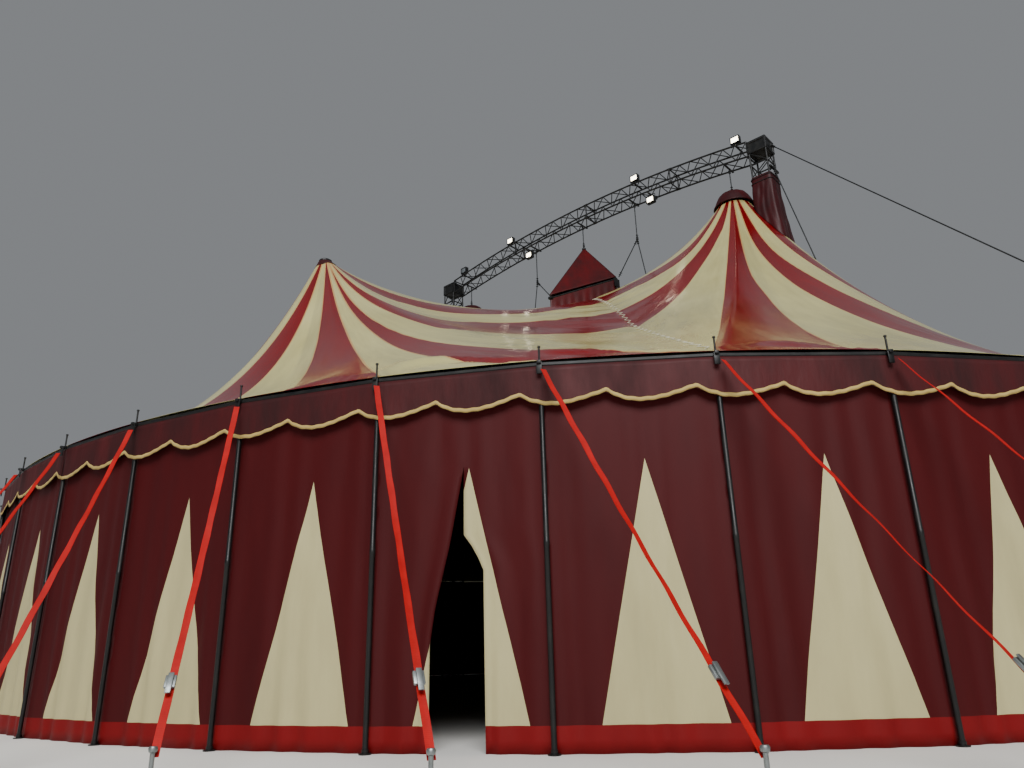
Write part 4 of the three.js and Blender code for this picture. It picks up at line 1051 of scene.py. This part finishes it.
def makeSkirt():
    columns, last = cupola["skirtColumns"], cupola["skirtRows"]
    lines = []
    for column in range(columns + 1):
        turn = 4 * (column % columns) / columns
        top = cupolaEdge(turn, cupola["skirtShare"], cupola["skirtDrop"])
        low = min(top.z - 0.01, canopyTop(top.x, top.y) + 0.003)
        fold = cupola["pleat"] * math.sin(turn * 2 * math.pi * cupola["pleats"])
        fold += cupola["flutter"] * noise.noise(Vector((turn * 4, 0, 3)))
        line = []
        for share in (row / last for row in range(last + 1)):
            out = 1 - fold * share / cupola["skirtOut"]
            line.append(Vector((top.x * out, top.y * out, top.z + (low - top.z) * share)))
        lines.append(line)
    rows = [[line[row] for line in lines] for row in range(last + 1)]
    sheet = clothPiece("cupola_skirt_cloth", rows, None, cupolaPvc, cupola["thick"])
    settle(sheet, "cupola_sheet", "cupola_skirt")


makeCupolaFrame()
makeCupola()
makeSkirt()
print("cupola made")

# Wire ropes: strands twisted round each other, with clips at their ends
rope = {"diameter": 0.036, "lay": 0.26, "clipStart": 0.09, "clipGap": 0.07, "clips": 2}


def ropeMesh(start, end, perLay):
    length = (end - start).length
    count = max(2, int(length / rope["lay"] * perLay))
    turn = (end - start).to_track_quat("Z", "Y")
    rings = []
    for step in range(count + 1):
        ring = []
        for side in range(12):
            reach = rope["diameter"] / 2 * (1 if side % 2 == 0 else 0.8)
            angle = 2 * math.pi * step / perLay + math.pi * side / 6
            spot = Vector((reach * math.cos(angle), reach * math.sin(angle), length * step / count))
            ring.append(start + turn @ spot)
        rings.append(ring)
    return tubeMesh("rope", rings, smooth=True)


def clipMesh():  # a saddle and two bolt nuts, around a rope on Z
    saddle = blockMesh((0.056, 0.05, 0.03), (0, 0.006, 0), 0.007)
    nut = turnedMesh([(0.011, 0), (0.011, 0.014), (0.007, 0.03)], 6)
    lay = Matrix.Rotation(math.pi / 2, 4, "X")
    copies = [(saddle, inPlace, 0)] + [(nut, moved(x, -0.018, 0) @ lay, 0) for x in (-0.018, 0.018)]
    joined = joinCopies("clip", copies, [])
    mesh = joined.data.copy()
    bpy.data.objects.remove(joined)
    return mesh


clip = clipMesh()
crossBar = blockMesh((0.06, 0.57, 0.03), (0, 0, 0), 0.007)
shackle = ringMesh(0.034, 0.009, 24, 8, rotation=(math.pi / 2, 0, 0))


def ropeCopies(start, end, clipsAt, perLay=8):  # clipsAt: 0 for the start, 1 for the end
    copies = [(ropeMesh(start, end, perLay), inPlace, 0)]
    way = (end - start).normalized()
    for side in clipsAt:
        base, inward = (end, -way) if side else (start, way)
        for index in range(rope["clips"]):
            spot = base + inward * (rope["clipStart"] + rope["clipGap"] * index)
            copies.append((clip, along(spot - way * 0.5, spot + way * 0.5, 1), 1))
    return copies


def railHeight(x, way):  # a cross bar's height on top of the arch or under it
    return archHeight(x) + way * (truss["width"] / 2 + truss["crossBarGap"])


def hanging(x, low):  # a rope down from a cross bar under the arch to a shackle
    bar = Vector((x, 0, railHeight(x, -1)))
    return ropeCopies(Vector((x, 0, low)), bar, (0, 1)) + [
        (crossBar, Matrix.Translation(bar), 1), (shackle, moved(x, 0, low + 0.05), 1)]


# Places of the ropes' ends; the anchor is (radius, degrees, height)
rigging = {"cupolaHanger": 14.5003, "peakHanger": 14.1603, "bridle": (2.22, 0, 13.94),
           "bridlePlate": (1.37, 0, 12.84), "bridleFoot": (2.52, 0, 12.0), "bridleFootOut": 2.45,
           "lug": (7.11, 0, 15.15), "anchor": (19.64, -9, 0.33),
           "post": [(0.038, 0), (0.038, 0.4), (0.052, 0.41), (0.052, 0.43), (0.04, 0.45)],
           "stayHead": (7.095, 0, 14.31), "stayFoot": (7.88, 0, 10.8)}


def makeCables():
    finish = [ropeSteel, blackSteel]
    settle(joinCopies("hanger_rope_cupola", hanging(0, rigging["cupolaHanger"]), finish), "wire_rope",
           "cupola_hanger")
    joint, foot = Vector(rigging["bridle"]), Vector(rigging["bridleFoot"])
    foot = joint.lerp(foot, (joint.z - canopyTop(rigging["bridleFootOut"], 0)) / (joint.z - foot.z))
    bridle = hanging(joint.x, joint.z) + ropeCopies(joint, Vector(rigging["bridlePlate"]), (0, 1))
    bridle += ropeCopies(joint, foot, (0,)) + [(blockMesh((0.09, 0.04, 0.09), joint, 0.015), inPlace, 1)]
    lug = Vector(rigging["lug"])
    radius, degrees, height = rigging["anchor"]
    guy = ropeCopies(lug, polar(radius, degrees, height), (0, 1), 6)
    guy.append((blockMesh((0.04, 0.12, 0.12), lug, 0.01), inPlace, 1))
    guy.append((turnedMesh(rigging["post"], 14), turned(degrees) @ moved(radius, 0, 0), 1))
    head, end = Vector(rigging["stayHead"]), Vector(rigging["stayFoot"])
    share = 1.0
    while head.lerp(end, share).z <= canopyTop(head.lerp(end, share).x, 0) + 0.003:
        share -= 0.004
    stay = ropeCopies(head, head.lerp(end, share), (0,))
    stay.append((blockMesh((0.06, 0.57, 0.06), head, 0.008), inPlace, 1))
    peakHanger = hanging(hoodPeak["out"], rigging["peakHanger"])
    settleEnds("hanger_rope", peakHanger, finish, "wire_rope", "peak_hanger")
    settleEnds("bridle_rope", bridle, finish, "wire_rope", "cupola_bridle")
    settleEnds("guy_rope", guy, finish, "wire_rope", "tower_guy")
    settleEnds("stay_rope", stay, finish, "wire_rope", "tower_stay")


makeCables()
print("ropes strung")

# Lacing that draws the sheets together along the four valleys
lacing = {"valleys": (48.75, 131.25, 228.75, 311.25), "from": 1.3, "to": 15.5, "stitches": 74, "side": 0.05,
          "width": 0.014, "above": 0.012}


def makeLacing():
    for index, valley in enumerate(lacing["valleys"]):
        spots = []
        for step in range(lacing["stitches"] + 1):
            radius = lacing["from"] + (lacing["to"] - lacing["from"]) * step / lacing["stitches"]
            spot = turned(valley) @ Vector((radius, lacing["side"] * (1 if step % 2 else -1), 0))
            top = canopyTop(spot.x, spot.y)
            if top is not None:
                spots.append(Vector((spot.x, spot.y, top + lacing["above"])))
        bars = [(braceBar, along(low, high, lacing["width"]), 0) for low, high in zip(spots, spots[1:])]
        settle(joinCopies(f"valley_lacing_{index + 1}", bars, [laceRope]), "wire_rope")


makeLacing()
print("valleys laced")

# Floodlights on the arch; each place is (name, x, on top of the arch, lit)
floodlight = {"size": (0.3, 0.16, 0.24), "side": -0.12, "rise": 0.22, "places": [
    ("near_end", 6.1, True, True), ("near_top", 2.4, True, True), ("near_under", 2.95, False, True),
    ("far_under", -2.45, False, True), ("far_top", -3.39, True, True), ("far_end", -6.0, True, False)]}


def lampCopies():  # a cast housing: a recessed front glass, a tapered back and cooling fins
    shape = bevelledCube(floodlight["size"], (0, 0, 0), 0.012)
    pickFaces(shape, lambda face: face.normal.y > 0.9 and face.calc_area() > 0.02)
    bpy.ops.transform.resize(value=(0.8, 1, 0.72))
    pickFaces(shape, lambda face: face.normal.y < -0.9 and face.calc_area() > 0.02)
    bpy.ops.mesh.inset(thickness=0.018)
    bpy.ops.mesh.inset(thickness=0.006, depth=-0.022)
    body = takeMesh(shape)
    fin = blockMesh((0.006, 0.05, 0.2), (0, 0.07, 0), 0.002, 1)
    glass = blockMesh((0.246, 0.006, 0.186), (0, -0.059, 0), 0.002, 1)
    fins = [(fin, moved(0.03 * step, 0, 0), 0) for step in range(-3, 4)]
    return [(body, inPlace, 0), (glass, inPlace, 1)] + fins


def makeFloodlights():
    lamp = lampCopies()
    arm = blockMesh((0.34, 0.03, 0.008), (0, 0, 0), 0.003, 1)
    cheek = blockMesh((0.008, 0.03, 0.2), (0, 0, 0), 0.003, 1)
    y = floodlight["side"]
    for name, x, above, lit in floodlight["places"]:
        way = 1 if above else -1
        rail = railHeight(x, way)
        copies = [(crossBar, moved(x, 0, rail), 0), (arm, moved(x, y, rail + way * 0.03), 0)]
        copies += [(cheek, moved(x + side * 0.166, y, rail + way * 0.13), 0) for side in (-1, 1)]
        copies.append((braceBar, along(Vector((x, y, rail)), Vector((x, y, rail + way * 0.05)), 0.03), 0))
        middle = moved(x, y, rail + way * floodlight["rise"])
        copies += [(mesh, middle @ matrix, index) for mesh, matrix, index in lamp]
        settle(joinCopies(f"lamp_{name}", copies, [lampBody, litGlass if lit else darkGlass]),
               "floodlight_housing", f"floodlight_{name}")


makeFloodlights()
print("floodlights up")

# The pieces that keep their own shape get their finish
for name in ("king_pole_left", "king_pole_right", "peak_ring_near", "peak_ring_far"):
    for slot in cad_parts[name].material_slots:
        slot.material = blackSteel

# Floor, light and camera; each lamp is (name, place, power)
studio = {"floor": 400, "floorColour": "#d9d7d2", "sky": "#dfe3e8", "skyStrength": 0.3, "aim": (0, 0, 6),
          "lampSize": 30, "lamps": [("keyLight", (34, -40, 36), 36000), ("fillLight", (-42, -28, 24), 14000),
                                    ("backLight", (-16, 46, 44), 7000)]}


def makeStudio():
    floor = startShape("plane", size=studio["floor"], location=(0, 0, -0.001))
    floor.name = "studio_floor"
    paint = newFinish("paleFloorPaint", {"Base Color": studio["floorColour"], "Roughness": 0.8})[0]
    floor.data.materials.append(paint)
    world = bpy.context.scene.world or bpy.data.worlds.new("studio")
    bpy.context.scene.world = world
    world.use_nodes = True
    back = world.node_tree.nodes["Background"]
    back.inputs["Color"].default_value = linear(studio["sky"])
    back.inputs["Strength"].default_value = studio["skyStrength"]
    for name, place, power in studio["lamps"]:
        light = bpy.data.lights.new(name, "AREA")
        light.shape, light.size, light.energy = "DISK", studio["lampSize"], power
        lamp = bpy.data.objects.new(name, light)
        lamp.location = place
        lamp.visible_glossy = name == "keyLight"  # only this one shines back from the sheets
        lamp.rotation_euler = (Vector(studio["aim"]) - Vector(place)).to_track_quat("-Z", "Y").to_euler()
        bpy.context.collection.objects.link(lamp)


camera = {"place": (14.211, -19.584, 1.013), "yaw": 132.331, "pitch": 19.292, "roll": -1.398, "lens": 26.765}


def makeCamera():
    data = bpy.data.cameras.new("camera")
    data.lens, data.sensor_width, data.clip_end = camera["lens"], 36, 500
    data.sensor_fit = "HORIZONTAL"
    yaw, pitch, roll = (math.radians(camera[name]) for name in ("yaw", "pitch", "roll"))
    forward = Vector((math.cos(yaw) * math.cos(pitch), math.sin(yaw) * math.cos(pitch), math.sin(pitch)))
    level = Vector((math.sin(yaw), -math.cos(yaw), 0))
    upward = level.cross(forward)
    across = level * math.cos(roll) + upward * math.sin(roll)
    up = upward * math.cos(roll) - level * math.sin(roll)
    view = Matrix((across, up, -forward)).transposed().to_4x4()
    eye = bpy.data.objects.new("camera", data)
    eye.matrix_world = Matrix.Translation(camera["place"]) @ view
    bpy.context.collection.objects.link(eye)
    bpy.context.scene.camera = eye


makeStudio()
makeCamera()
print("studio set")
